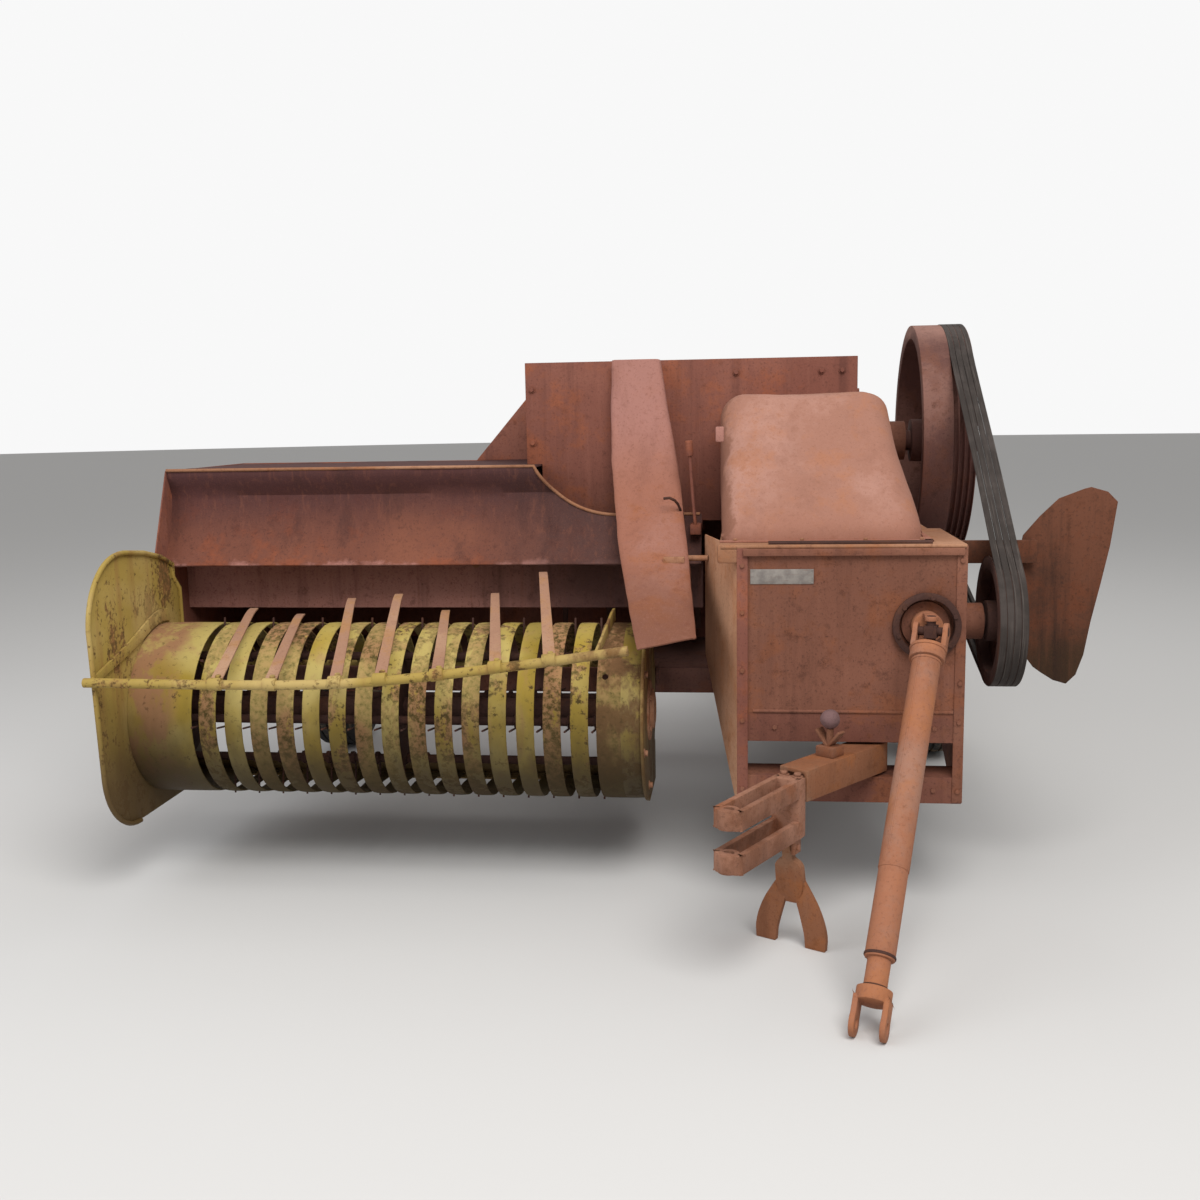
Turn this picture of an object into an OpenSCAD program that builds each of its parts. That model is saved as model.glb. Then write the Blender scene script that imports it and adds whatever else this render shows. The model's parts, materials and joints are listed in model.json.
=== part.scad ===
// Pull-type square baler, parked: side pickup, cross feeder, belt-driven flywheel,
// bale chamber with knotters, two carrying wheels, swinging drawbar and drive shaft.
// Millimetres. X runs across the machine and grows toward the belt side, Y grows
// toward the rear, Z is height above the ground. The chamber's middle plane is x = 0
// and the front plate is y = 0 before the whole machine is moved over its own middle.

/* [Bale chamber] */
// Inside width of the bale chamber
chamber_w = 460; // [420:5:480]
// Inside height of the bale chamber
chamber_h = 360; // [340:5:370]
// Height of the chamber's floor above the ground
chamber_floor_z = 520; // [500:5:540]
// Where the chamber ends at the rear, behind the front plate
chamber_end_y = 3300; // [3000:10:3600]
// Length of the rear part that is squeezed by the tension rails
tension_l = 640; // [500:10:800]
// Thickness of the chamber's plates
chamber_t = 6; // [4:0.5:8]
// Length of the opening where the crop comes in
feed_l = 530; // [450:5:560]
// Height of that opening
feed_h = 300; // [260:5:320]
// Side of the square rails along the chamber
rail_s = 40; // [30:1:46]

/* [Front box] */
// Distance from the chamber's middle to the box face on the pickup side
box_pickup_side = 288; // [280:2:300]
// Distance from the chamber's middle to the box face on the belt side
box_belt_side = 271; // [262:1:280]
// Depth of the front box
box_d = 440; // [420:5:480]
// Height of the deck on top of the box
box_top_z = 950; // [945:1:960]
// Height where the front plate ends and the channel begins
fold_z = 520; // [515:1:530]
// Lower edge of the upper channel
slot_top_z = 445; // [440:1:450]
// Upper edge of the lower channel
slot_bottom_z = 355; // [345:1:358]
// Lower edge of the lower channel
box_bottom_z = 287; // [270:1:300]
// Thickness of the frame plates
plate_t = 8; // [5:1:10]
// Reach of the channels behind the front face
channel_d = 110; // [100:5:130]
// How far the cheek plate flares out at its rear
cheek_flare = 97; // [60:1:100]

/* [Sheet covers] */
// Thickness of the sheet covers
sheet_t = 5; // [3:0.5:6]
// Height of the crank cover above the deck
cover_h = 380; // [350:2:400]
// Rounding of the crank cover's corners
cover_r = 70; // [40:2:80]
// Depth of the drive cover's side flanges
band_flange = 70; // [40:1:80]

/* [Feeder] */
// Distance from the chamber's middle to the far end of the feeder
feeder_reach = 2030; // [1950:5:2100]
// Front edge of the feeder floor
feeder_front_y = 560; // [556:1:570]
// Rear face of the feeder
feeder_back_y = 1106; // [1100:1:1140]
// Height of the feeder's top sheet
feeder_top_z = 1135; // [1120:1:1150]
// Lower edge of the hood's front panel
hood_bottom_z = 700; // [690:1:720]
// Radius of the cut in the hood beside the tall housing
hood_cut_r = 275; // [240:1:290]
// Height of the tall housing's top
housing_top_z = 1440; // [1400:5:1480]
// Front face of the tall housing
housing_front_y = 640; // [636:1:660]
// Reach of the tall housing toward the pickup side
housing_pickup_side = 935; // [925:1:960]
// Reach of the tall housing toward the belt side
housing_belt_side = 55; // [45:1:60]

/* [Belt drive] */
// Outer radius of the flywheel
flywheel_r = 363; // [330:1:370]
// Width of the flywheel's rim
flywheel_w = 154; // [140:1:160]
// Height of the flywheel's shaft
flywheel_z = 1183; // [1175:1:1200]
// Distance of the flywheel's shaft behind the front plate
flywheel_y = 1020; // [1010:1:1040]
// Thickness of the flywheel's rim
rim_t = 42; // [36:1:48]
// Outer radius of the small sheave
sheave_r = 165; // [150:1:175]
// Height of the sheave's shaft
sheave_z = 746; // [740:1:752]
// Distance of the sheave's shaft behind the front plate
sheave_y = 80; // [76:1:90]
// Number of belts
belt_n = 4; // [3:1:4]
// Distance from belt to belt
belt_pitch = 17; // [16:0.5:18]
// Outer edge of the belt group from the chamber's middle
belt_outer_x = 405; // [402:1:410]

/* [Pickup] */
// Radius of the stripper bands
strip_r = 245; // [235:1:248]
// Width of one stripper band
strip_w = 48; // [40:1:52]
// Distance from band to band
strip_pitch = 73; // [70:1:75]
// Distance from the far end panel to the middle of the first narrow band
strip_start = 229; // [224:1:236]
// Height of the tine reel's shaft
reel_z = 460; // [455:1:470]
// Distance of the tine reel's shaft behind the front plate
reel_y = 270; // [265:1:275]
// Radius that the tine tips reach
tine_r = 262; // [255:1:268]
// Radius where the tine bars sit
tine_bar_r = 150; // [140:1:160]
// Number of tine bars
tine_bar_n = 4; // [3:1:5]
// Distance from the feeder's far end to the pickup's far end panel
pickup_inset = 70; // [65:1:80]
// Plane of the pickup's near end panel
pickup_near_x = -542; // [-543:1:-538]
// Diameter of the wind guard's pipe
guard_pipe_d = 25; // [20:1:30]

/* [Wheels] */
// Radius of the tyres
tyre_r = 345; // [330:1:360]
// Width of the tyres
tyre_w = 165; // [150:1:175]
// Radius of the wheel rims
rim_r = 195; // [180:1:200]
// Distance of the axle behind the front plate
axle_y = 1600; // [1590:5:1650]
// Side of the square axle tube
axle_s = 80; // [60:1:90]
// Middle of the wheel on the belt side
wheel_belt_x = 410; // [400:1:430]
// Middle of the wheel on the pickup side
wheel_pickup_x = -1850; // [-1880:1:-1840]

/* [Drawbar and stand] */
// Radius of the drawbar's pivot pin
hitch_pin_r = 16; // [12:1:18]
// Height of the drawbar's section
drawbar_h = 76; // [70:1:80]
// Width of the drawbar
drawbar_w = 80; // [70:1:90]
// Length from the pivot pin to the drawbar's end
drawbar_l = 342; // [330:1:360]
// Swing of the drawbar away from straight ahead
drawbar_swing = 38; // [36:1:40]
// Length of the hitch loops
loop_l = 300; // [280:1:320]
// Width of the hitch loops
loop_w = 74; // [70:1:84]
// Thickness of the hitch straps
strap_t = 16; // [12:1:18]
// Height of the hitch straps
strap_h = 45; // [40:1:50]
// Radius of the bore through the hitch loops' ends
drawpin_r = 13; // [10:0.5:14]

/* [Drive shaft] */
// Distance from the chamber's middle to the input shaft
input_x = 175; // [170:1:178]
// Radius of the ring around the input shaft
input_ring_r = 84; // [76:1:86]
// Length of the drive shaft between its joints
shaft_l = 962; // [950:1:980]
// Radius of the outer tube
shaft_tube_r = 34; // [30:0.5:36]
// Radius of the inner tube
shaft_inner_r = 25; // [20:0.5:27]
// Turn of the drive shaft toward the pickup side
shaft_yaw = 18; // [14:0.5:20]
// Radius of the round ears on the joint forks
fork_r = 28; // [24:1:30]

/* [Twine box] */
// Length of the twine box along the feeder
twine_l = 480; // [400:5:520]
// Depth of the twine box
twine_d = 360; // [300:5:400]
// Height of the twine box
twine_h = 380; // [300:5:400]
// Height of the twine box's floor above the ground
twine_z = 700; // [650:5:740]

/* [Hidden] */
$fn = 64;

// Paint and rust
red_rust = [0.48, 0.27, 0.22];
pale_rust = [0.72, 0.50, 0.42];
dark_rust = [0.30, 0.17, 0.13];
tan_rust = [0.62, 0.42, 0.28];
worn_yellow = [0.70, 0.62, 0.28];
black_rubber = [0.14, 0.13, 0.13];
belt_grey = [0.35, 0.32, 0.32];
grey_iron = [0.33, 0.30, 0.29];

// Running clearances
fit = 0.5;

// Chamber
chamber_in = chamber_w / 2;
chamber_out = chamber_in + chamber_t;
chamber_roof_z = chamber_floor_z + chamber_h;
feed_y0 = 560;
feed_y1 = feed_y0 + feed_l;
roof_y0 = feeder_back_y + 100;
tension_y0 = chamber_end_y - tension_l;
rail_z = [chamber_floor_z + 25, chamber_floor_z + 225];
needle_y = 1450;
needle_x = 110;
meter_y = 2300;
meter_r = 130;
meter_shaft_r = 14;
meter_z = chamber_roof_z + chamber_t + 66;

// Pickup
pickup_far_x = pickup_inset - feeder_reach;
strip_x0 = pickup_far_x + strip_start;
panel_t = 6;
tine_t = 7;
// Space beside a tine, and the least width of the wide band at the near end
tine_room = 5;
wide_band_w = 116;
strip_n = floor((pickup_near_x - panel_t - wide_band_w - strip_x0) / strip_pitch + 0.5);

// Whole machine over its own middle
guard_reach = 684;
joint_y = -80;
gap = 0.3;
// Slope at which the fork at the lower end lies on the ground
shaft_pitch = asin((sheave_z - fork_r - gap) / shaft_l);
shaft_end_y = joint_y - (shaft_l * cos(shaft_pitch) + fork_r) * cos(shaft_yaw);
mid_x = (guard_reach - feeder_reach) / 2;
mid_y = (chamber_end_y + shaft_end_y) / 2;

module base() {
    translate([-mid_x, -mid_y, 0]) children();
}

// A profile drawn in (y, z), carried along x
module along_x(x0, x1) {
    translate([x0, 0, 0]) rotate([90, 0, 90]) linear_extrude(x1 - x0) children();
}

// A profile drawn in (x, z), carried along y
module along_y(y0, y1) {
    translate([0, y1, 0]) rotate([90, 0, 0]) linear_extrude(y1 - y0) children();
}

// A profile drawn in (radius, length), turned about an axis along x
module turned_x(x, y, z) {
    translate([x, y, z]) rotate([0, 90, 0]) rotate_extrude() children();
}

module rod_x(x0, x1, y, z, r) {
    translate([x0, y, z]) rotate([0, 90, 0]) cylinder(h = x1 - x0, r = r);
}

module rod_y(x, y0, y1, z, r) {
    translate([x, y0, z]) rotate([-90, 0, 0]) cylinder(h = y1 - y0, r = r);
}

module rod_z(x, y, z0, z1, r) {
    translate([x, y, z0]) cylinder(h = z1 - z0, r = r);
}

module block(x0, x1, y0, y1, z0, z1) {
    translate([x0, y0, z0]) cube([x1 - x0, y1 - y0, z1 - z0]);
}

// Points of an arc about (cy, cz), from angle a0 to a1
function arc(cy, cz, r, a0, a1, n) =
    [for (i = [0 : n]) [cy + r * cos(a0 + (a1 - a0) * i / n), cz + r * sin(a0 + (a1 - a0) * i / n)]];

// Unit normal on the right side of the stretch from point i to the next
function side_of(p, i) = let (d = p[i + 1] - p[i]) [d[1], -d[0]] / norm(d);

// Way from point i to the sheet's other face, with mitred corners
function mitre(p, i) =
    i == 0 ? side_of(p, 0)
    : i == len(p) - 1 ? side_of(p, i - 1)
    : (side_of(p, i - 1) + side_of(p, i)) / (1 + side_of(p, i - 1) * side_of(p, i));

// Outline of a sheet of thickness t that follows the line p, on the line's right side
function sheet_outline(p, t) = concat(p, [for (i = [len(p) - 1 : -1 : 0]) p[i] + t * mitre(p, i)]);

// Front box

// Channel across the box between heights z0 and z1, open to the rear
module cross_channel(z0, z1) {
    along_x(-box_pickup_side + plate_t, box_belt_side - plate_t) polygon([
        [0, z0], [channel_d, z0], [channel_d, z0 + plate_t], [plate_t, z0 + plate_t],
        [plate_t, z1 - plate_t], [channel_d, z1 - plate_t], [channel_d, z1], [0, z1]
    ]);
}

pivot_x = 50;
pivot_y = 48;

module front_frame() {
    color(red_rust) base() difference() {
        union() {
            cross_channel(box_bottom_z, slot_bottom_z);
            cross_channel(slot_top_z, fold_z);
            along_x(box_belt_side - plate_t, box_belt_side) polygon([
                [0, box_bottom_z], [channel_d, box_bottom_z], [box_d, slot_top_z],
                [box_d, box_top_z - plate_t], [0, box_top_z - plate_t]
            ]);
            along_x(-box_pickup_side, -box_pickup_side + plate_t) polygon([
                [0, box_bottom_z], [channel_d, box_bottom_z], [box_d, slot_top_z],
                [box_d, box_top_z - plate_t], [0, box_top_z - plate_t]
            ]);
            // Post that carries the chamber's front
            block(-chamber_out, chamber_out, box_d - plate_t, box_d, slot_top_z, chamber_floor_z - chamber_t);
        }
        rod_z(pivot_x, pivot_y, box_bottom_z - 1, fold_z + 1, hitch_pin_r + fit);
        rod_x(box_belt_side - plate_t - 1, box_belt_side + 1, sheave_y, sheave_z, bearing_r + gap);
    }
}

rim_reach = 14;
rim_h = 18;

module front_plate() {
    x0 = -box_pickup_side + plate_t;
    x1 = box_belt_side - plate_t;
    z1 = box_top_z - plate_t;
    color(red_rust) base() difference() {
        union() {
            block(x0, x1, 0, sheet_t, fold_z, z1);
            // Folded rim at the top
            block(x0, x1, -rim_reach, 0, z1 - rim_h, z1);
        }
        rod_y(input_x, -1, sheet_t + 1, sheave_z, input_ring_r - ring_lip);
    }
}

cheek_d = 400;
flare_angle = atan(cheek_flare / cheek_d);

module front_cheek() {
    color(pale_rust) base() translate([-box_pickup_side - gap, 0, 0]) rotate([0, 0, flare_angle])
        translate([-sheet_t, 0, 0]) rotate([90, 0, 90]) linear_extrude(sheet_t) polygon([
            [0, box_bottom_z], [40, box_bottom_z], [cheek_d, chamber_floor_z + 80],
            [cheek_d, box_top_z - plate_t], [0, box_top_z - plate_t]
        ]);
}

deck_pickup_side = 340;

module top_deck() {
    color(red_rust) base() union() {
        block(-deck_pickup_side, box_belt_side, 0, box_d, box_top_z - plate_t, box_top_z);
        block(-deck_pickup_side, chamber_out, box_d, roof_y0, box_top_z - plate_t, box_top_z);
    }
}

// How far the ring laps over the plate's hole, the ring's width and its depth
ring_lip = 8;
ring_w = 16;
ring_d = 14;

module input_ring() {
    inner = input_ring_r - ring_w;
    neck = input_ring_r - ring_lip - fit;
    color(dark_rust) base() translate([input_x, sheet_t, sheave_z]) rotate([90, 0, 0])
        rotate_extrude() polygon([
            [inner, -9], [neck, -9], [neck, sheet_t], [input_ring_r, sheet_t],
            [input_ring_r, sheet_t + ring_d], [inner, sheet_t + ring_d]
        ]);
}

bearing_r = 46;
gearbox_y0 = 22;
gearbox_half_h = 98;
gearbox_w = 84;
gearbox_stub_y = 14;
sheave_room = 14;

module input_gearbox() {
    z0 = sheave_z - gearbox_half_h;
    z1 = sheave_z + gearbox_half_h;
    color(grey_iron) base() difference() {
        union() {
            block(input_x - gearbox_w, box_belt_side - plate_t - gap, gearbox_y0, sheave_y + 92, z0, z1);
            rod_y(input_x, gearbox_stub_y, gearbox_y0, sheave_z, 60);
            // Bearing tube out to the sheave
            rod_x(box_belt_side - plate_t - 1, belt_x0 - sheave_room, sheave_y, sheave_z, bearing_r);
            // Foot on the upper channel
            block(input_x - 60, input_x + 60, gearbox_y0, channel_d, fold_z, z0);
        }
        rod_x(input_x, belt_outer_x, sheave_y, sheave_z, sheave_shaft_r + fit);
    }
}

// Crank cover, a pressed shell with a sloping front

cover_back_y = housing_front_y - gap;
cover_foot_y = 90;
cover_top_y = 350;
cover_foot_x = [-deck_pickup_side + cover_r, 180 - cover_r];
cover_top_x = [-deck_pickup_side + cover_r, 118 - cover_r];
cover_top_z = box_top_z + cover_h - cover_r;

// Rounded corner bar of the cover, from a ball in front back to its rear face
module cover_corner(x, front_y, z, inset) {
    r = cover_r - inset;
    translate([x, front_y + cover_r, z]) sphere(r = r, $fn = 32);
    translate([x, cover_back_y + inset, z]) rotate([90, 0, 0]) cylinder(h = 1, r = r, $fn = 32);
}

module cover_form(inset) {
    hull() {
        for (x = cover_foot_x)
            cover_corner(x, cover_foot_y, box_top_z, inset);
        for (x = cover_top_x)
            cover_corner(x, cover_top_y, cover_top_z, inset);
    }
}

module crank_cover() {
    color(pale_rust) base() difference() {
        cover_form(0);
        cover_form(sheet_t);
        // Open below
        block(-deck_pickup_side - 1, box_belt_side, 0, cover_back_y + 1, box_top_z - cover_r - 1, box_top_z);
    }
}

flywheel_x0 = belt_outer_x - flywheel_w;
flywheel_shaft_r = 32;
shaft_box_r = 62;

module main_gearbox() {
    x1 = housing_belt_side - sheet_t - gap;
    y1 = feeder_back_y - sheet_t - gap;
    color(grey_iron) base() difference() {
        union() {
            block(-150, x1, flywheel_y - 160, y1, box_top_z, flywheel_z + 110);
            rod_x(0, flywheel_x0 - sheave_room, flywheel_y, flywheel_z, shaft_box_r);
        }
        rod_x(0, flywheel_x0, flywheel_y, flywheel_z, flywheel_shaft_r + fit);
    }
}

// Bale chamber

module chamber_floor() {
    color(dark_rust) base() difference() {
        block(-chamber_in, chamber_in, box_d, tension_y0, chamber_floor_z - chamber_t, chamber_floor_z);
        for (x = [-needle_x, needle_x])
            block(x - 14, x + 14, needle_y - 90, needle_y + 60, chamber_floor_z - 20, chamber_floor_z + 1);
    }
}

// Side wall as drawn in (y, z), with the light openings at its rear
module wall_shape() {
    difference() {
        polygon([
            [box_d, chamber_floor_z - chamber_t], [chamber_end_y, chamber_floor_z - chamber_t],
            [chamber_end_y, chamber_roof_z + chamber_t], [roof_y0, chamber_roof_z + chamber_t],
            [roof_y0, box_top_z - plate_t], [box_d, box_top_z - plate_t]
        ]);
        for (y = [roof_y0 + 150 : 480 : tension_y0 - 200])
            translate([y, rail_z[1] - 110]) square([300, 60]);
    }
}

module chamber_wall_belt_side() {
    color(red_rust) base() along_x(chamber_in, chamber_out) wall_shape();
}

module chamber_wall_pickup_side() {
    color(red_rust) base() difference() {
        along_x(-chamber_out, -chamber_in) wall_shape();
        block(-chamber_out - 1, -chamber_in + 1, feed_y0, feed_y1, chamber_floor_z, chamber_floor_z + feed_h);
    }
}

module chamber_roof() {
    z0 = chamber_roof_z;
    z1 = chamber_roof_z + chamber_t;
    slot_half = meter_r + 12;
    color(red_rust) base() difference() {
        block(-chamber_in, chamber_in, roof_y0, tension_y0, z0, z1);
        // Slots of the needles and of the metering wheel
        for (x = [-needle_x, needle_x])
            block(x - 14, x + 14, needle_y - 60, needle_y + 60, z0 - 1, z1 + 1);
        block(-22, 22, meter_y - slot_half, meter_y + slot_half, z0 - 1, z1 + 1);
    }
    // Brackets of the metering wheel
    color(red_rust) base() for (x = [-48, 42]) along_x(x, x + 6) difference() {
        polygon([
            [meter_y - 50, z1], [meter_y + 50, z1], [meter_y + 22, meter_z + 24],
            [meter_y - 22, meter_z + 24]
        ]);
        translate([meter_y, meter_z]) circle(r = meter_shaft_r + fit);
    }
}

// Square rail with an open side, from y0 to y1 on one side of the chamber
module side_rail(side, y0, y1, z) {
    mirror([side < 0 ? 1 : 0, 0, 0]) along_y(y0, y1) translate([chamber_out, z]) difference() {
        square([rail_s, rail_s]);
        translate([-1, sheet_t]) square([rail_s + 1 - sheet_t, rail_s - 2 * sheet_t]);
    }
}

module chamber_rails() {
    color(red_rust) base() union() {
        for (z = rail_z) side_rail(1, box_d, chamber_end_y, z);
        for (z = rail_z) side_rail(-1, feeder_back_y, chamber_end_y, z);
        // Uprights
        for (side = [0, 1])
            for (y = [roof_y0 + 60, tension_y0, chamber_end_y - 30])
                mirror([side, 0, 0]) translate([chamber_out, y, rail_z[0]])
                    cube([rail_s, 30, chamber_roof_z + chamber_t - rail_z[0]]);
    }
}

// A box open in front and on top, standing back from the chamber's front
plunger_l = 420;
plunger_y = box_d + 90;
plunger_half = chamber_in - 4;
plunger_wall = 20;

module plunger() {
    y1 = plunger_y + plunger_l;
    inner = plunger_half - plunger_wall;
    color(grey_iron) base() difference() {
        block(-plunger_half, plunger_half, plunger_y, y1, chamber_floor_z + gap, chamber_roof_z - 8);
        block(-inner, inner, plunger_y - 1, y1 - 30, chamber_floor_z + plunger_wall, chamber_roof_z);
    }
}

knotter_y = needle_y + 40;
knotter_z = chamber_roof_z + 150;

module knotters() {
    color(red_rust) base() union() {
        rod_x(-chamber_in + 10, chamber_in - 10, knotter_y, knotter_z, 18);
        for (x = [-chamber_in + 20, chamber_in - 32])
            along_x(x, x + 12) polygon([
                [knotter_y - 110, chamber_roof_z + chamber_t], [knotter_y + 110, chamber_roof_z + chamber_t],
                [knotter_y + 40, knotter_z + 50], [knotter_y - 40, knotter_z + 50]
            ]);
        for (x = [-needle_x, needle_x]) {
            turned_x(x + 18, knotter_y, knotter_z) polygon([
                [0, 0], [105, 0], [105, 26], [80, 26], [80, 10], [30, 10], [30, 34], [0, 34]
            ]);
            block(x - 30, x + 14, knotter_y - 46, knotter_y + 46, knotter_z - 110, knotter_z + 8);
            rod_x(x - 40, x + 20, knotter_y - 30, knotter_z - 80, 16);
        }
    }
}

needle_r = 290;
needle_pivot_y = needle_y - needle_r;
needle_pivot_z = chamber_floor_z - 60;
needle_sweep = 58;
needle_foot_y = needle_pivot_y + needle_r * cos(needle_sweep);
needle_foot_z = needle_pivot_z - needle_r * sin(needle_sweep);
yoke_x = chamber_out + rail_s + 4;

module needle_yoke() {
    color(red_rust) base() union() {
        for (x = [-needle_x, needle_x])
            along_x(x - 8, x + 8) polygon(concat(
                arc(needle_pivot_y, needle_pivot_z, needle_r - 14, -needle_sweep, -4, 10),
                [[needle_pivot_y + needle_r * cos(1), needle_pivot_z + needle_r * sin(1)]],
                arc(needle_pivot_y, needle_pivot_z, needle_r + 14, -4, -needle_sweep, 10)
            ));
        rod_x(-yoke_x - 16, yoke_x + 16, needle_foot_y, needle_foot_z, 20);
        for (x = [-yoke_x - 12, yoke_x])
            along_x(x, x + 12) polygon([
                [needle_pivot_y - 30, chamber_floor_z - 36], [needle_pivot_y + 30, chamber_floor_z - 36],
                [needle_foot_y + 24, needle_foot_z], [needle_foot_y - 24, needle_foot_z]
            ]);
        rod_x(-yoke_x - 12, yoke_x + 12, needle_pivot_y, needle_pivot_z, 22);
        for (x = [-chamber_out, chamber_out - 12])
            along_x(x, x + 12) translate([needle_pivot_y - 30, needle_pivot_z - 10])
                square([60, chamber_floor_z - chamber_t - needle_pivot_z + 10]);
    }
}

tension_rail_w = 90;
tension_rail_h = 50;
// Lower edges of the rails below the floor and above the roof
tension_z = [chamber_floor_z - chamber_t - tension_rail_h, chamber_roof_z + chamber_t];

module tension_rails() {
    color(red_rust) base() for (x = [-chamber_in + 20, chamber_in - 20 - tension_rail_w])
        for (i = [0, 1])
            along_y(tension_y0, chamber_end_y) translate([x, tension_z[i]]) difference() {
                square([tension_rail_w, tension_rail_h]);
                translate([8, i == 0 ? -1 : 8]) square([tension_rail_w - 16, tension_rail_h - 7]);
            }
}

screw_x = chamber_out + rail_s + 26;
screw_y = chamber_end_y - 160;
crossbar_h = 60;

module tension_screws() {
    color(red_rust) base() union() {
        for (z = [tension_z[0] - crossbar_h, tension_z[1] + tension_rail_h])
            block(-screw_x - 22, screw_x + 22, screw_y - 25, screw_y + 25, z, z + crossbar_h);
        for (x = [-screw_x, screw_x]) {
            rod_z(x, screw_y, chamber_floor_z - 140, chamber_roof_z + 300, 12);
            rod_z(x, screw_y, chamber_roof_z + chamber_t + 110, chamber_roof_z + 230, 24);
            rod_x(x - 8, x + 90, screw_y, chamber_roof_z + 290, 8);
            rod_z(x + 84, screw_y, chamber_roof_z + 284, chamber_roof_z + 350, 9);
        }
    }
}

// Feeder

// Lower edge of the beams under the feeder's floor
beam_z = chamber_floor_z - 75;
pin_reach = 14;
lug_table = [
    // x of the lug, x where its pin begins, x where its pin ends
    [pickup_far_x - panel_t - 9, pickup_far_x - panel_t - 9, pickup_far_x - 9 + pin_reach],
    [pickup_near_x + 3, pickup_near_x + 3 - pin_reach, pickup_near_x + 3 + panel_t]
];

module feeder_floor() {
    x0 = -feeder_reach + sheet_t;
    floor_z0 = chamber_floor_z - sheet_t;
    color(dark_rust) base() union() {
        block(x0, -chamber_out, feeder_front_y, feeder_back_y - sheet_t, floor_z0, chamber_floor_z);
        // Beams under the floor
        for (y = [feeder_front_y, feeder_back_y - 90])
            along_x(x0, -chamber_out) polygon([
                [y, beam_z], [y + 50, beam_z], [y + 50, beam_z + 6], [y + 6, beam_z + 6],
                [y + 6, floor_z0], [y, floor_z0]
            ]);
        // Lugs and pins that carry the pickup
        for (lug = lug_table) {
            along_x(lug[0], lug[0] + panel_t) polygon([
                [pickup_pivot_y, pickup_pivot_z - pickup_ear_r], [feeder_front_y + 20, beam_z],
                [feeder_front_y + 20, floor_z0], [feeder_front_y, chamber_floor_z + 20],
                [pickup_pivot_y, pickup_pivot_z + pickup_ear_r]
            ]);
            rod_x(lug[0], lug[0] + panel_t, pickup_pivot_y, pickup_pivot_z, pickup_ear_r);
            rod_x(lug[1], lug[2], pickup_pivot_y, pickup_pivot_z, pickup_pin_r);
        }
    }
}

module feeder_back() {
    color(red_rust) base() along_y(feeder_back_y - sheet_t, feeder_back_y) polygon([
        [-feeder_reach + sheet_t, beam_z], [-chamber_out, beam_z],
        [-chamber_out, box_top_z - plate_t], [-deck_pickup_side, box_top_z - plate_t],
        [-deck_pickup_side, feeder_top_z], [-feeder_reach + sheet_t, feeder_top_z]
    ]);
}

hood_front_y = 500;
hood_lip = 22;
// Front edge of the ledge under the hollow face, the lower panel's plane and their height
ledge_y = 540;
panel_y = 600;
ledge_z = 848;
// Centre and radius of the hood's hollow face
hollow_y = hood_front_y - 420;
hollow_z = feeder_top_z - 15;
hollow_r = 452;

// Line of the hood from the top's rear edge, over the front lip, down to the lower panel
hood_line = concat(
    [
        [feeder_back_y - sheet_t, feeder_top_z], [hood_front_y, feeder_top_z],
        [hood_front_y, feeder_top_z - hood_lip]
    ],
    arc(hollow_y, hollow_z, hollow_r, -8, -36, 8),
    [[ledge_y, ledge_z], [panel_y, ledge_z], [panel_y, hood_bottom_z]]
);

module feeder_hood() {
    color(red_rust) base() difference() {
        along_x(-feeder_reach + sheet_t, -deck_pickup_side - 60) polygon(sheet_outline(hood_line, -sheet_t));
        // Rounded cut beside the tall housing
        along_y(0, feeder_back_y + 1) polygon(concat(
            arc(-hood_cut_x, hood_cut_z + hood_cut_r, hood_cut_r, 200, 270, 14),
            [[0, hood_cut_z], [0, feeder_top_z + 50]]
        ));
    }
}

hood_cut_x = 650;
hood_cut_z = 990;

module feeder_end() {
    color(red_rust) base() along_x(-feeder_reach, -feeder_reach + sheet_t) polygon([
        [feeder_front_y, beam_z], [feeder_back_y, beam_z],
        [feeder_back_y, feeder_top_z], [hood_front_y, feeder_top_z],
        [hood_front_y - 105, ledge_z + 42], [hood_front_y - 105, 640]
    ]);
}

// Tall housing of the feeder drive

cut_top_z = hood_cut_z + hood_cut_r;
sheet_corner_r = housing_pickup_side - hood_cut_x;
// Where the hood's top sheet ends at its rounded cut, with some clearance
cut_end = hood_cut_x + sqrt(pow(hood_cut_r, 2) - pow(cut_top_z - feeder_top_z + sheet_t, 2)) - 3 * gap;

module tall_housing() {
    x0 = -housing_pickup_side;
    x1 = housing_belt_side;
    corner_start = 180 + acos((cut_end - hood_cut_x) / sheet_corner_r);
    color(red_rust) base() difference() {
        union() {
            // Front sheet, its lower corner kept inside the hood's rounded cut
            along_y(housing_front_y, housing_front_y + sheet_t) polygon(concat(
                [
                    [x1, box_top_z], [x1, housing_top_z], [x0, housing_top_z],
                    [x0, feeder_top_z + gap], [-cut_end, feeder_top_z + gap]
                ],
                arc(-hood_cut_x, cut_top_z - 20, sheet_corner_r, corner_start, 270, 12),
                [[-deck_pickup_side, hood_cut_z - 30], [-deck_pickup_side, box_top_z]]
            ));
            // Top sheet
            block(x0, x1, housing_front_y, feeder_back_y, housing_top_z - sheet_t, housing_top_z);
            // Rear sheet with its sloping shoulder
            along_y(feeder_back_y - sheet_t, feeder_back_y) polygon([
                [x1, box_top_z], [x1, housing_top_z], [x0, housing_top_z],
                [x0 - 60, housing_top_z - 80], [x0 - 255, feeder_top_z],
                [-deck_pickup_side, feeder_top_z], [-deck_pickup_side, box_top_z]
            ]);
            // Ends
            block(x1 - sheet_t, x1, housing_front_y, feeder_back_y, box_top_z, housing_top_z);
            block(x0, x0 + sheet_t, housing_front_y, feeder_back_y, feeder_top_z + gap, housing_top_z);
        }
        rod_x(0, housing_belt_side + 1, flywheel_y, flywheel_z, shaft_box_r + gap);
    }
}

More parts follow.
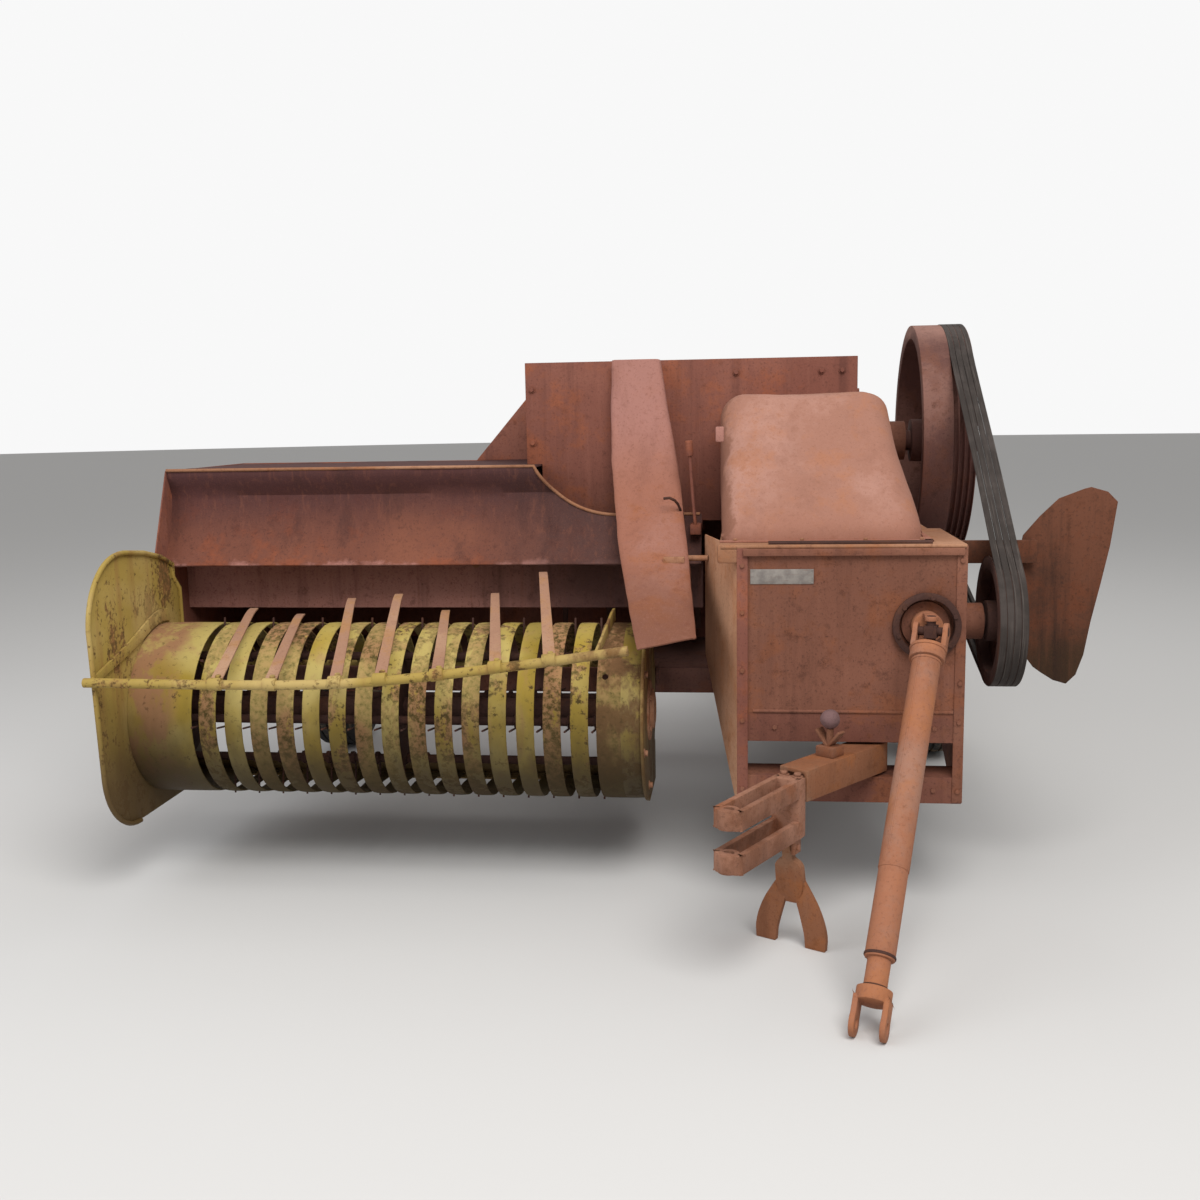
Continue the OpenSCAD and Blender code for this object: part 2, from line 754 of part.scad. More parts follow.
feeder_finger_y = 850;
finger_rod_z = feeder_top_z + 60;
finger_rod_x = -housing_pickup_side + 35;
finger_low_z = chamber_floor_z + 70;
finger_pitch = 145;

module feeder_fingers() {
    color(dark_rust) base() union() {
        rod_x(finger_rod_x, -deck_pickup_side - 40, feeder_finger_y, finger_rod_z, 26);
        // Hangers from the housing's top
        for (x = [finger_rod_x + 80, -deck_pickup_side - 180])
            along_x(x - 20, x + 20) translate([feeder_finger_y - 8, finger_rod_z])
                square([16, housing_top_z - sheet_t - finger_rod_z]);
        for (i = [0 : 3]) {
            x = finger_rod_x + 40 + i * finger_pitch;
            along_x(x - 8, x + 8) polygon([
                [feeder_finger_y - 24, finger_rod_z], [feeder_finger_y + 24, finger_rod_z],
                [feeder_finger_y + 40, finger_low_z + 110], [feeder_finger_y + 20, finger_low_z],
                [feeder_finger_y + 8, finger_low_z + 110]
            ]);
        }
    }
}

// Drive cover, a curved channel in front of the tall housing

band_table = [
    // y, z down the cover's face, share of the flanges' full depth
    [602, 1442, 1], [592, 1340, 1], [572, 1230, 1], [540, 1140, 1], [492, 1062, 1],
    [416, 975, 1], [322, 895, 1], [210, 820, 0.9], [85, 758, 0.6], [-60, 691, 0.6]
];
band_edges = [
    // height, x of the face's edge on the pickup side, x of its other edge
    [1460, -667, -526], [1288, -670, -500], [1131, -666, -472], [1030, -652, -453],
    [905, -627, -436], [825, -602, -422], [725, -562, -400], [640, -526, -384]
];
band_line = [for (p = band_table) [p[0], p[1]]];
flange_drop = 0.3;
cover_x = [-800, -300];
// Heights of the face's lower edge at the two values of cover_x
lower_edge = [658, 731];

// Where the flanges stop behind the cover's face
flange_line = [for (p = band_table) [
    min(p[0] + p[2] * band_flange, housing_front_y - gap), p[1] - p[2] * band_flange * flange_drop
]];
// Stay from the cover to just before the cheek plate's outer face
stay_y = 340;
stay_z = 880;
stay_r = 8;
stay_x = -455;
cheek_x = -box_pickup_side - (stay_y + stay_r) * tan(flare_angle) - sheet_t / cos(flare_angle);

// Front view of the cover, its side edges moved in by the given amount
module band_front(inset) {
    polygon(concat(
        [for (p = band_edges) [p[1] + inset, p[0]]],
        [for (i = [len(band_edges) - 1 : -1 : 0]) [band_edges[i][2] - inset, band_edges[i][0]]]
    ));
}

module drive_cover() {
    color(pale_rust) base() union() {
        difference() {
            intersection() {
                along_y(-100, housing_front_y) band_front(0);
                union() {
                    along_x(cover_x[0], cover_x[1]) polygon(sheet_outline(band_line, -sheet_t));
                    // Side flanges
                    difference() {
                        along_x(cover_x[0], cover_x[1]) polygon(concat(
                            band_line,
                            [for (i = [len(flange_line) - 1 : -1 : 1]) flange_line[i]],
                            [[flange_line[0][0], band_line[0][1]]]
                        ));
                        along_y(-101, housing_front_y + 1) band_front(sheet_t);
                    }
                }
            }
            // Lower edge, higher on the belt side
            along_y(-101, housing_front_y) polygon([
                [cover_x[0], 600], [cover_x[0], lower_edge[0]], [cover_x[1], lower_edge[1]],
                [cover_x[1], 600]
            ]);
            // Room for the hood's hollow face
            along_x(cover_x[0] - 1, cover_x[1] + 1) polygon(concat(
                arc(hollow_y, hollow_z, hollow_r - 3 * gap, -12, -36, 8),
                [[panel_y + 22, ledge_z - 12], [panel_y + 22, hood_cut_z + 25]]
            ));
        }
        rod_x(stay_x, cheek_x - 2 * gap, stay_y, stay_z, stay_r);
    }
}

// Axle and wheels

axle_z = tyre_r;
spindle_r = 25;
hub_w = 110;

wheel_room = 22;
arm_s = 60;

module axle_beam() {
    belt_end = wheel_belt_x - tyre_w / 2 - wheel_room;
    pickup_end = wheel_pickup_x + tyre_w / 2 + wheel_room;
    arm_x = pickup_end + 20;
    half = axle_s / 2;
    color(red_rust) base() union() {
        block(pickup_end, belt_end, axle_y - half, axle_y + half, axle_z - half, axle_z + half);
        rod_x(belt_end - 1, wheel_belt_x + hub_w / 2 + 8, axle_y, axle_z, spindle_r);
        rod_x(wheel_pickup_x - hub_w / 2 - 8, pickup_end + 1, axle_y, axle_z, spindle_r);
        // Hangers under the chamber
        for (x = [-chamber_out, chamber_out - 14])
            block(x, x + 14, axle_y - 60, axle_y + 60, axle_z, chamber_floor_z - chamber_t);
        // Arm that carries the far end of the feeder
        along_x(arm_x, arm_x + arm_s) polygon([
            [axle_y, axle_z - arm_s / 2], [axle_y, axle_z + arm_s / 2],
            [feeder_back_y + arm_s, axle_z + arm_s / 2], [feeder_back_y + arm_s, chamber_floor_z],
            [feeder_back_y, chamber_floor_z], [feeder_back_y, axle_z - arm_s / 2]
        ]);
    }
}

hub_r = 52;
hub_hole_n = 6;
// Radius of the tyre's seat, and half widths of the rim's well, bead and edge
seat_r = rim_r - 14;
well_half = 54;
bead_half = 62;
edge_half = 70;

module wheel_rim(x, dish) {
    color(worn_yellow) base() translate([x, axle_y, axle_z]) rotate([0, 90, 0]) difference() {
        rotate_extrude() polygon([
            [spindle_r + fit, -hub_w / 2], [hub_r, -hub_w / 2], [hub_r, dish - 4],
            [seat_r - 6, dish - 4], [seat_r - 6, -bead_half], [rim_r - 6, -edge_half],
            [rim_r, -edge_half], [rim_r, -bead_half], [seat_r, -well_half], [seat_r, well_half],
            [rim_r, bead_half], [rim_r, edge_half], [rim_r - 6, edge_half],
            [seat_r - 6, bead_half], [seat_r - 6, dish + 4], [hub_r, dish + 4],
            [hub_r, hub_w / 2], [spindle_r + fit, hub_w / 2]
        ]);
        for (i = [0 : hub_hole_n - 1])
            rotate([0, 0, (i + 0.5) * 360 / hub_hole_n]) translate([115, 0, dish - 10])
                cylinder(h = 20, r = 18);
    }
}

// One half of the tyre's section as (radius, distance from its middle)
function tyre_half() = let (half = tyre_w / 2) [
    [seat_r + gap, well_half - 0.5], [rim_r + gap, bead_half - 0.5], [rim_r + 28, half - 8],
    [rim_r + 75, half], [tyre_r - 32, half - 6], [tyre_r - 8, half - 24], [tyre_r, half - 50]
];

module tyre(x) {
    line = tyre_half();
    color(black_rubber) base() translate([x, axle_y, axle_z]) rotate([0, 90, 0])
        rotate_extrude() polygon(concat(
            line,
            [for (i = [len(line) - 1 : -1 : 0]) [line[i][0], -line[i][1]]]
        ));
}

module wheel_rim_belt_side() { wheel_rim(wheel_belt_x, -12); }
module tyre_belt_side() { tyre(wheel_belt_x); }
module wheel_rim_pickup_side() { wheel_rim(wheel_pickup_x, 12); }
module tyre_pickup_side() { tyre(wheel_pickup_x); }

// Flywheel, sheave and belts

belt_h = 11;
belt_x0 = belt_outer_x - belt_n * belt_pitch;
sheave_shaft_r = 20;

// Grooved edge as (radius, length) points, from the inner side outward
function grooves(r) = [
    for (i = [0 : belt_n - 1]) each [
        [r, i * belt_pitch + 1], [r - belt_h - 2, i * belt_pitch + 4],
        [r - belt_h - 2, i * belt_pitch + belt_pitch - 4], [r, i * belt_pitch + belt_pitch - 1]
    ]
];

// Length of the shafts behind the flywheel and the sheave
stub_l = 120;
web_hole_n = 6;
web_hole_at = 195;
web_hole_r = 62;

module flywheel() {
    web = flywheel_w - 24;
    inner = flywheel_r - rim_t;
    groove_x = flywheel_w - belt_n * belt_pitch;
    color(pale_rust) base() translate([flywheel_x0, flywheel_y, flywheel_z]) rotate([0, 90, 0]) difference() {
        rotate_extrude($fn = 96) polygon(concat(
            [
                [0, -stub_l], [flywheel_shaft_r, -stub_l], [flywheel_shaft_r, 6], [68, 6], [68, web],
                [inner, web], [inner, 0], [flywheel_r, 0], [flywheel_r, groove_x - 6]
            ],
            [for (p = grooves(flywheel_r)) p + [0, groove_x]],
            [
                [flywheel_r, flywheel_w], [inner, flywheel_w], [inner - 4, flywheel_w - 8],
                [60, flywheel_w - 8], [60, flywheel_w], [0, flywheel_w]
            ]
        ));
        for (i = [0 : web_hole_n - 1])
            rotate([0, 0, i * 360 / web_hole_n]) translate([web_hole_at, 0, web - 1])
                cylinder(h = 40, r = web_hole_r);
    }
}

module sheave() {
    w = belt_n * belt_pitch;
    inner = sheave_r - 34;
    color(dark_rust) base() translate([belt_x0, sheave_y, sheave_z]) rotate([0, 90, 0])
        rotate_extrude($fn = 96) polygon(concat(
            [
                [0, -stub_l], [sheave_shaft_r, -stub_l], [sheave_shaft_r, -6], [52, -6],
                [52, w / 2 - 8], [inner, w / 2 - 8], [inner, 0], [sheave_r, 0]
            ],
            grooves(sheave_r),
            [[sheave_r, w], [inner, w], [inner, w / 2 + 8], [44, w / 2 + 8], [44, w], [0, w]]
        ));
}

// Belt line around both wheels at distance d outside the groove bottoms, drawn in (y, z)
module belt_shape(d) {
    r1 = sheave_r - belt_h - 2 + d;
    r2 = flywheel_r - belt_h - 2 + d;
    dy = flywheel_y - sheave_y;
    dz = flywheel_z - sheave_z;
    line = atan2(dz, dy);
    side = acos((r2 - r1) / norm([dy, dz]));
    polygon(concat(
        arc(sheave_y, sheave_z, r1, line + 180 - side, line + 180 + side, 40),
        arc(flywheel_y, flywheel_z, r2, line + 180 + side - 360, line + 180 - side, 60)
    ));
}

module belts() {
    color(belt_grey) base() for (i = [0 : belt_n - 1]) {
        x = belt_x0 + (i + 0.5) * belt_pitch;
        along_x(x - 4, x + 4) difference() {
            belt_shape(belt_h + 2);
            belt_shape(2 * gap);
        }
    }
}

guard_line = [
    // x, z around the guard's face
    [449, 950], [492, 999], [540, 1045], [604, 1070], [620, 1074], [660, 1062],
    [guard_reach, 1036], [670, 922], [651, 821], [630, 718], [616, 631], [598, 576],
    [574, 551], [540, 561], [506, 583], [486, 598], [440, 660], [440, 900]
];

guard_y = 230;
// Bend of the guard's sheet, about an upright axis
bend_r = 500;
bend_x = 560;
bracket_z = [880, 940];
bracket_x = 480;
bracket_y = 190;

module belt_guard() {
    color(red_rust) base() union() {
        intersection() {
            along_y(0, 600) polygon(guard_line);
            translate([bend_x, guard_y - bend_r, 0]) difference() {
                cylinder(h = 1400, r = bend_r + sheet_t, $fn = 96);
                translate([0, 0, -1]) cylinder(h = 1402, r = bend_r, $fn = 96);
            }
        }
        // Bracket from the box, a foot, an arm and a tab
        block(box_belt_side, box_belt_side + 10, 60, bracket_y + 12, bracket_z[0], bracket_z[1]);
        block(box_belt_side, bracket_x, bracket_y, bracket_y + 12, bracket_z[0], bracket_z[1]);
        block(bracket_x - 10, bracket_x, bracket_y, guard_y - 2, bracket_z[0], bracket_z[1]);
    }
}

twine_x0 = -housing_pickup_side + 20;
twine_y0 = feeder_back_y + gap;

module twine_box() {
    color(red_rust) base() translate([twine_x0, twine_y0, twine_z]) difference() {
        cube([twine_l, twine_d, twine_h]);
        translate([sheet_t, sheet_t, sheet_t])
            cube([twine_l - 2 * sheet_t, twine_d - 2 * sheet_t, twine_h]);
    }
}

lid_hinge_y = 36;
lid_hinge_r = 9;

// Plate that starts just behind its hinge line, with a handle at its rear edge
module twine_lid() {
    mid = twine_l / 2;
    color(red_rust) base() translate([twine_x0, twine_y0, twine_z + twine_h + gap]) union() {
        block(-6, twine_l + 6, lid_hinge_y + 2, twine_d + 6, 0, sheet_t);
        rod_x(10, twine_l - 10, lid_hinge_y, lid_hinge_r, lid_hinge_r);
        block(mid - 30, mid + 30, twine_d + 2, twine_d + 30, -20, sheet_t);
    }
}

// Drawbar and hitch, laid out along -y from the pivot pin and then swung

module swung() {
    translate([pivot_x, pivot_y, 0]) rotate([0, 0, -drawbar_swing]) children();
}

hitch_turn = 9;

// Laid out along -y from the drawbar's end
module hitched() {
    swung() translate([0, -drawbar_l - gap, 0]) rotate([0, 0, hitch_turn]) children();
}

drawbar_z0 = slot_bottom_z + (slot_top_z - slot_bottom_z - drawbar_h) / 2;
drawbar_z1 = drawbar_z0 + drawbar_h;

module drawbar_pin() {
    color(dark_rust) base() union() {
        rod_z(pivot_x, pivot_y, box_bottom_z + plate_t, fold_z - plate_t - gap, hitch_pin_r);
        rod_z(pivot_x, pivot_y, slot_top_z + plate_t + gap, slot_top_z + plate_t + 14, hitch_pin_r + 8);
    }
}

module drawbar() {
    half = drawbar_w / 2;
    wall = 10;
    color(tan_rust) base() swung() difference() {
        union() {
            rod_z(0, 0, drawbar_z0, drawbar_z1, half);
            block(-half, half, -drawbar_l, 0, drawbar_z0, drawbar_z1);
        }
        // Hollow behind the pivot end, open below
        block(wall - half, half - wall, -drawbar_l - 1, -half - wall, drawbar_z0 - 1, drawbar_z1 - wall);
        rod_z(0, 0, drawbar_z0 - 1, drawbar_z1 + 1, hitch_pin_r + fit);
    }
}

loop_top_z = 378;
loop_low_z = 278;

// Strap bent to a loop, open toward the drawbar
module strap_loop(z) {
    block(-loop_w / 2, -loop_w / 2 + strap_t, -loop_l, 0, z, z + strap_h);
    block(loop_w / 2 - strap_t, loop_w / 2, -loop_l, 0, z, z + strap_h);
    difference() {
        block(-loop_w / 2, loop_w / 2, -loop_l - strap_t, -loop_l + 30, z, z + strap_h);
        rod_z(0, -loop_l + 2, z - 1, z + strap_h + 1, drawpin_r);
    }
}

module hitch_loops() {
    color(tan_rust) base() hitched() union() {
        for (z = [loop_low_z, loop_top_z]) translate([0, -14, 0]) strap_loop(z);
        block(-loop_w / 2, loop_w / 2, -44, -6, loop_low_z, loop_top_z + strap_h);
        // Lugs and pin of the parking stand
        for (x = [-26, 16]) block(x, x + 10, -44, -8, stand_pivot_z - 16, loop_low_z + 1);
        rod_x(-30, 30, stand_y, stand_pivot_z, stand_pin_r);
    }
}

module latch() {
    color(pale_rust) base() swung() union() {
        block(-26, 26, -215, -165, drawbar_z1, drawbar_z1 + 26);
        rod_z(0, -190, drawbar_z1, drawbar_z1 + 72, 9);
        // Spread flats under the knob
        along_y(-204, -176) polygon([
            [-6, drawbar_z1 + 20], [6, drawbar_z1 + 20], [38, drawbar_z1 + 64], [29, drawbar_z1 + 64],
            [0, drawbar_z1 + 30], [-29, drawbar_z1 + 64], [-38, drawbar_z1 + 64]
        ]);
        translate([0, -190, drawbar_z1 + 92]) sphere(r = 27);
    }
}

stand_pivot_z = 254;
stand_y = -26;
stand_pin_r = 8;

// The stand's foot rests behind its pivot, so that the load holds it on its stop
stand_back = 20;

module stand() {
    color(tan_rust) base() hitched() translate([0, stand_y, 0]) difference() {
        union() {
            rod_x(-14, 14, 0, stand_pivot_z, 15);
            along_x(-14, 14) polygon([
                [-12, stand_pivot_z], [12, stand_pivot_z], [stand_back + 12, 132], [stand_back - 12, 132]
            ]);
            // Two spread blades
            along_y(stand_back - 8, stand_back + 8) polygon([
                [-92, 0], [-62, 0], [-56, 24], [0, 126], [56, 24], [62, 0],
                [92, 0], [92, 30], [17, 168], [-17, 168], [-92, 30]
            ]);
        }
        rod_x(-20, 20, 0, stand_pivot_z, stand_pin_r + fit);
    }
}

// Pickup

pickup_pivot_y = feeder_front_y - 25;
pickup_pivot_z = 515;
pickup_pin_r = 10;
pickup_ear_r = 18;
strip_t = 4;

// End panel outline in (y, z), tall with a large round front at the top. Its rear edge
// steps in where the lifted panel comes up in front of the hood's lip.
module far_panel_shape() {
    polygon(concat(
        [
            [500, 180], [500, 420], [400, 560], [398, 796], [362, 834], [362, 870],
            [288, 896], [187, 919], [67, 932]
        ],
        arc(50, 740, 192, 90, 180, 12),
        arc(60, 360, 180, 180, 270, 10)
    ));
}

module near_panel_shape() {
    union() {
        translate([reel_y, reel_z]) circle(r = strip_r + 5);
        translate([reel_y, reel_z - strip_r - 5]) square([130, 2 * strip_r + 10]);
        translate([reel_y, reel_z - strip_r - 20]) square([230, 120]);
    }
}

module pickup_panels() {
    color(worn_yellow) base() difference() {
        union() {
            along_x(pickup_far_x - panel_t, pickup_far_x) far_panel_shape();
            along_x(pickup_near_x - panel_t, pickup_near_x) near_panel_shape();
            // Ears at the lift pivot
            for (x = [pickup_far_x - panel_t, pickup_near_x - panel_t]) {
                along_x(x, x + panel_t) polygon([
                    [380, pickup_pivot_z - 90], [pickup_pivot_y, pickup_pivot_z - pickup_ear_r],
                    [pickup_pivot_y, pickup_pivot_z + pickup_ear_r], [380, pickup_pivot_z + 90]
                ]);
                rod_x(x, x + panel_t, pickup_pivot_y, pickup_pivot_z, pickup_ear_r);
            }
        }
        for (x = [pickup_far_x, pickup_near_x]) {
            rod_x(x - 20, x + 20, reel_y, reel_z, reel_shaft_r + fit);
            rod_x(x - 20, x + 20, pickup_pivot_y, pickup_pivot_z, pickup_pin_r + fit);
        }
    }
}

// Where the bands end at the bottom and at the top
band_low = [470, 206];
band_high = [feeder_front_y - 26, 544];

module pickup_frame() {
    x1 = pickup_near_x - panel_t;
    z0 = band_low[1] - 6 - gap;
    color(worn_yellow) base() union() {
        // Lower tube and the angle that holds the bands' lower ends
        rod_x(pickup_far_x, x1, 478, 236, 22);
        block(pickup_far_x, x1, 440, 478, z0, z0 + 6);
        block(pickup_far_x, x1, 472, 478, z0, 236);
        // Flat that holds the bands' upper ends
        block(pickup_far_x, x1, band_high[0] + gap, band_high[0] + 6, 527, 546);
    }
}

// Side view of one stripper band: up around the front, over the top, down to the floor
strip_line = concat(
    [band_low, [reel_y + 60, reel_z - strip_r]],
    arc(reel_y, reel_z, strip_r, 270, 60, 22),
    [[446, 640], band_high]
);

module stripper_bands() {
    color(worn_yellow) base() union() {
        for (i = [0 : strip_n - 1])
            along_x(strip_x0 + i * strip_pitch - strip_w / 2, strip_x0 + i * strip_pitch + strip_w / 2)
                polygon(sheet_outline(strip_line, strip_t));
        for (x = [
            // from, to of each wide band at the ends
            [pickup_far_x + gap, strip_x0 - strip_pitch / 2 - tine_t / 2 - tine_room],
            [strip_x0 + (strip_n - 0.5) * strip_pitch + tine_t / 2 + tine_room, pickup_near_x - panel_t - gap]
        ])
            along_x(x[0], x[1]) polygon(sheet_outline(strip_line, strip_t));
    }
}

finger_table = [
    // x at the pipe, x at the tip, height of the tip
    [-1622, -1690, 747], [-1477, -1550, 730], [-1305, -1396, 776], [-1188, -1257, 788],
    [-1041, -1122, 741], [-892, -978, 790], [-756, -839, 850]
];
pipe_y = -150;
finger_tip_y = 300;
finger_w = 30;
pipe_line = [
    // x, z along the bent pipe
    [pickup_far_x - 16, 617], [-1400, 617], [-1065, 640], [-560, 708]
];

// Height of the pipe's middle at x
function pipe_z(x) = lookup(x, pipe_line);

// Rise of the pipe in degrees from bend i to the next
function slope(i) = let (d = pipe_line[i + 1] - pipe_line[i]) atan2(d[1], d[0]);

module along_pipe(i, rise) {
    translate([pipe_line[i][0], pipe_y, pipe_line[i][1]]) rotate([0, 90 - rise, 0]) children();
}

// Flat finger from the pipe, back over the bands
module finger(f) {
    d = [f[1] - f[0], finger_tip_y - pipe_y, f[2] - pipe_z(f[0])];
    turn = -atan2(d[0], d[1]);
    rise = atan2(d[2], norm([d[0], d[1]]));
    translate([f[0], pipe_y, pipe_z(f[0])]) rotate([0, 0, turn]) rotate([rise, 0, 0])
        translate([-finger_w / 2, 0, 2]) cube([finger_w, norm(d), 6]);
}

// Flat arm that carries the pipe from a bracket on top of the pickup
module guard_arm(x) {
    seat_z = reel_z + strip_r + gap;
    z = pipe_z(x);
    knee_z = (z + seat_z + 20) / 2;
    along_x(x, x + 8) polygon([
        [pipe_y, z - 10], [60, knee_z - 18], [reel_y - 40, seat_z], [reel_y + 40, seat_z],
        [reel_y + 40, seat_z + 40], [60, knee_z + 18], [pipe_y, z + 10]
    ]);
}

module wind_guard() {
    color(worn_yellow) base() union() {
        for (i = [0 : len(pipe_line) - 2])
            along_pipe(i, slope(i)) translate([0, 0, 1.5])
                cylinder(h = norm(pipe_line[i + 1] - pipe_line[i]) - 3, d = guard_pipe_d);
        // Sleeves at the bends
        for (i = [1 : len(pipe_line) - 2])
            along_pipe(i, (slope(i - 1) + slope(i)) / 2)
                cylinder(h = 16, d = guard_pipe_d + 2, center = true);
        for (f = finger_table) finger(f);
        // Arms back to the end panels
        for (x = [pickup_far_x + gap, pickup_near_x - panel_t - 96])
            guard_arm(x);
    }
}

reel_shaft_r = 30;
reel_l = pickup_near_x - pickup_far_x;

module tine_reel() {
    color(dark_rust) base() translate([0, reel_y, reel_z]) rotate([90, 0, 90]) union() {
        translate([0, 0, pickup_far_x - panel_t]) cylinder(h = reel_l + panel_t, r = reel_shaft_r);
        for (x = [pickup_far_x + 40, (pickup_far_x + pickup_near_x) / 2, pickup_near_x - 60])
            translate([0, 0, x]) cylinder(h = 8, r = tine_bar_r + 16);
        for (k = [0 : tine_bar_n - 1]) rotate([0, 0, k * 360 / tine_bar_n]) {
            translate([tine_bar_r, 0, pickup_far_x + 20]) cylinder(h = reel_l - 50, r = 12);
            for (i = [-1 : strip_n - 1])
                translate([tine_bar_r, 0, strip_x0 + (i + 0.5) * strip_pitch]) rotate([0, 90, 0])
                    cylinder(h = tine_r - tine_bar_r, r = tine_t / 2);
        }
    }
}

// Drive shaft

// Radius of the joint's pins
joint_r = 11;
arm_t = 12;
// Inner faces of the arms on the gearbox, at the shaft's upper end and at its lower end
yoke_in = 26;
fork_in = 30;
end_in = 26;
yoke_ear_r = 16;
yoke_arm_w = 28;
yoke_arm_l = 52;
yoke_hub_r = 38;

// Arm from the joint's centre along y, its pin hole along z
module yoke_arm() {
    difference() {
        union() {
            translate([-yoke_arm_w / 2, 0, yoke_in]) cube([yoke_arm_w, yoke_arm_l, arm_t]);
            translate([0, 0, yoke_in]) cylinder(h = arm_t, r = yoke_ear_r);
        }
        translate([0, 0, yoke_in - 1]) cylinder(h = arm_t + 2, r = joint_r + fit);
    }
}

module input_yoke() {
    color(tan_rust) base() translate([input_x, joint_y, sheave_z]) {
        rod_y(0, yoke_arm_l + gap, gearbox_stub_y - joint_y, 0, yoke_hub_r);
        yoke_arm();
        mirror([0, 0, 1]) yoke_arm();
    }
}

// Laid out along -y from the joint's centre, then turned and sloped to the ground
module shaft_place() {
    translate([input_x, joint_y, sheave_z]) rotate([0, 0, -shaft_yaw]) rotate([shaft_pitch, 0, 0]) children();
}

module joint_cross() {
    color(grey_iron) base() translate([input_x, joint_y, sheave_z]) rotate([0, 0, -shaft_yaw]) union() {
        cylinder(h = 2 * (yoke_in + arm_t), r = joint_r, center = true);
        rotate([0, 90, 0]) cylinder(h = 2 * (fork_in + arm_t), r = joint_r, center = true);
        cube(30, center = true);
    }
}

// Two arms along -y from the joint's centre, inner faces at x_in, round ears of radius r
module fork(l, x_in, r) {
    for (s = [-1, 1]) mirror([s < 0 ? 1 : 0, 0, 0]) difference() {
        union() {
            translate([x_in, -l, 4 - r]) cube([arm_t, l, 2 * r - 8]);
            rod_x(x_in, x_in + arm_t, 0, 0, r);
        }
        rod_x(x_in - 1, x_in + arm_t + 1, 0, 0, joint_r + fit);
    }
}

shaft_ear_r = 22;
tube_start = 50;
collar_l = 34;
tube_l = 572;
// Where the inner tube begins, and where it ends in the lower fork
inner_start = 182;
inner_end = shaft_l - 50;

module drive_shaft_tube() {
    color(tan_rust) base() shaft_place() {
        fork(tube_start - gap, fork_in, shaft_ear_r);
        rotate([90, 0, 0]) difference() {
            union() {
                translate([0, 0, tube_start]) cylinder(h = collar_l, r = fork_in + arm_t);
                translate([0, 0, tube_start]) cylinder(h = tube_l, r = shaft_tube_r);
            }
            translate([0, 0, tube_start + collar_l + 8]) cylinder(h = tube_l, r = shaft_inner_r + fit);
        }
    }
}

module drive_shaft_end() {
    color(tan_rust) base() shaft_place() union() {
        rod_y(0, -inner_end, -inner_start, 0, shaft_inner_r);
        translate([0, -shaft_l, 0]) rotate([0, 0, 180]) {
            fork(56, end_in, fork_r);
            rod_y(0, -76, -46, 0, end_in + arm_t);
        }
    }
}

module metering_wheel() {
    color(grey_iron) base() translate([0, meter_y, meter_z]) rotate([90, 0, 90]) union() {
        translate([0, 0, -5]) linear_extrude(10) polygon([
            for (i = [0 : 15]) let (r = i % 2 == 0 ? meter_r : 84) [r * cos(i * 22.5), r * sin(i * 22.5)]
        ]);
        translate([0, 0, -60]) cylinder(h = 120, r = meter_shaft_r);
    }
}

front_frame();
front_plate();
front_cheek();
top_deck();
input_ring();
input_gearbox();
crank_cover();
main_gearbox();
chamber_floor();
chamber_wall_belt_side();
chamber_wall_pickup_side();
chamber_roof();
chamber_rails();
plunger();
knotters();
needle_yoke();
tension_rails();
tension_screws();
feeder_floor();
feeder_back();
feeder_hood();
feeder_end();
feeder_fingers();
tall_housing();
drive_cover();
axle_beam();
belts();
belt_guard();
twine_box();
drawbar_pin();
input_yoke();
flywheel();
sheave();
wheel_rim_belt_side();
tyre_belt_side();
wheel_rim_pickup_side();
tyre_pickup_side();
drawbar();
hitch_loops();
latch();
stand();
pickup_panels();
pickup_frame();
stripper_bands();
wind_guard();
tine_reel();
joint_cross();
drive_shaft_tube();
drive_shaft_end();
twine_lid();
metering_wheel();
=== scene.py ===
"""Looks of a rusty square baler: a finish for every CAD node, and modelled pieces around them.

Lengths are in metres. Places are written from the machine's own planes: x from the bale
chamber's middle toward the belt side, y from the front plate toward the rear, z from the
ground. The function spot() turns such a place into the frame's place.
"""
import json
import math

import bpy
from mathutils import Matrix, Vector, noise

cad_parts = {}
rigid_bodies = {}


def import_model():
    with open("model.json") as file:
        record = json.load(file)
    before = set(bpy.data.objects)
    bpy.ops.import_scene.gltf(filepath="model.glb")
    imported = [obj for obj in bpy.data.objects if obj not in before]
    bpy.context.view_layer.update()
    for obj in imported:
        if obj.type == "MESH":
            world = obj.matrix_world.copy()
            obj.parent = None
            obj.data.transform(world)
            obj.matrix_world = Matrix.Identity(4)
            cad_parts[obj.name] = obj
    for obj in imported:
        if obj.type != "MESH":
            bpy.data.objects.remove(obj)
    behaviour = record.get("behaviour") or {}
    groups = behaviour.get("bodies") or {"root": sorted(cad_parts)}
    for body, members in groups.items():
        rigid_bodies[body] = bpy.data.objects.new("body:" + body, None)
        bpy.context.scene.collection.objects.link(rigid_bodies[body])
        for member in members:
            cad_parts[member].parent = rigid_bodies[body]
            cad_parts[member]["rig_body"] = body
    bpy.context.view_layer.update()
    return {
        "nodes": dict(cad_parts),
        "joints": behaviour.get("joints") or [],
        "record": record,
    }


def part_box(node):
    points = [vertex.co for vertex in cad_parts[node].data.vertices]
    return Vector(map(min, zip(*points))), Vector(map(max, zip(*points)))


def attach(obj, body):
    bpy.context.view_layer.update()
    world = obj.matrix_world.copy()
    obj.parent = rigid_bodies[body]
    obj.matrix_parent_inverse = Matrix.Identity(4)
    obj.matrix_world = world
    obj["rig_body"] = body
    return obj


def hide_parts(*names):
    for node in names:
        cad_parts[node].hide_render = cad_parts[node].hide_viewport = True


bl_info = {
    "name": "Square Baler Looks",
    "version": (1, 0, 0),
    "blender": (4, 5, 0),
    "location": "View3D > Sidebar > Baler",
    "description": "Finishes and modelled pieces of a rusty square baler",
    "category": "Object",
}

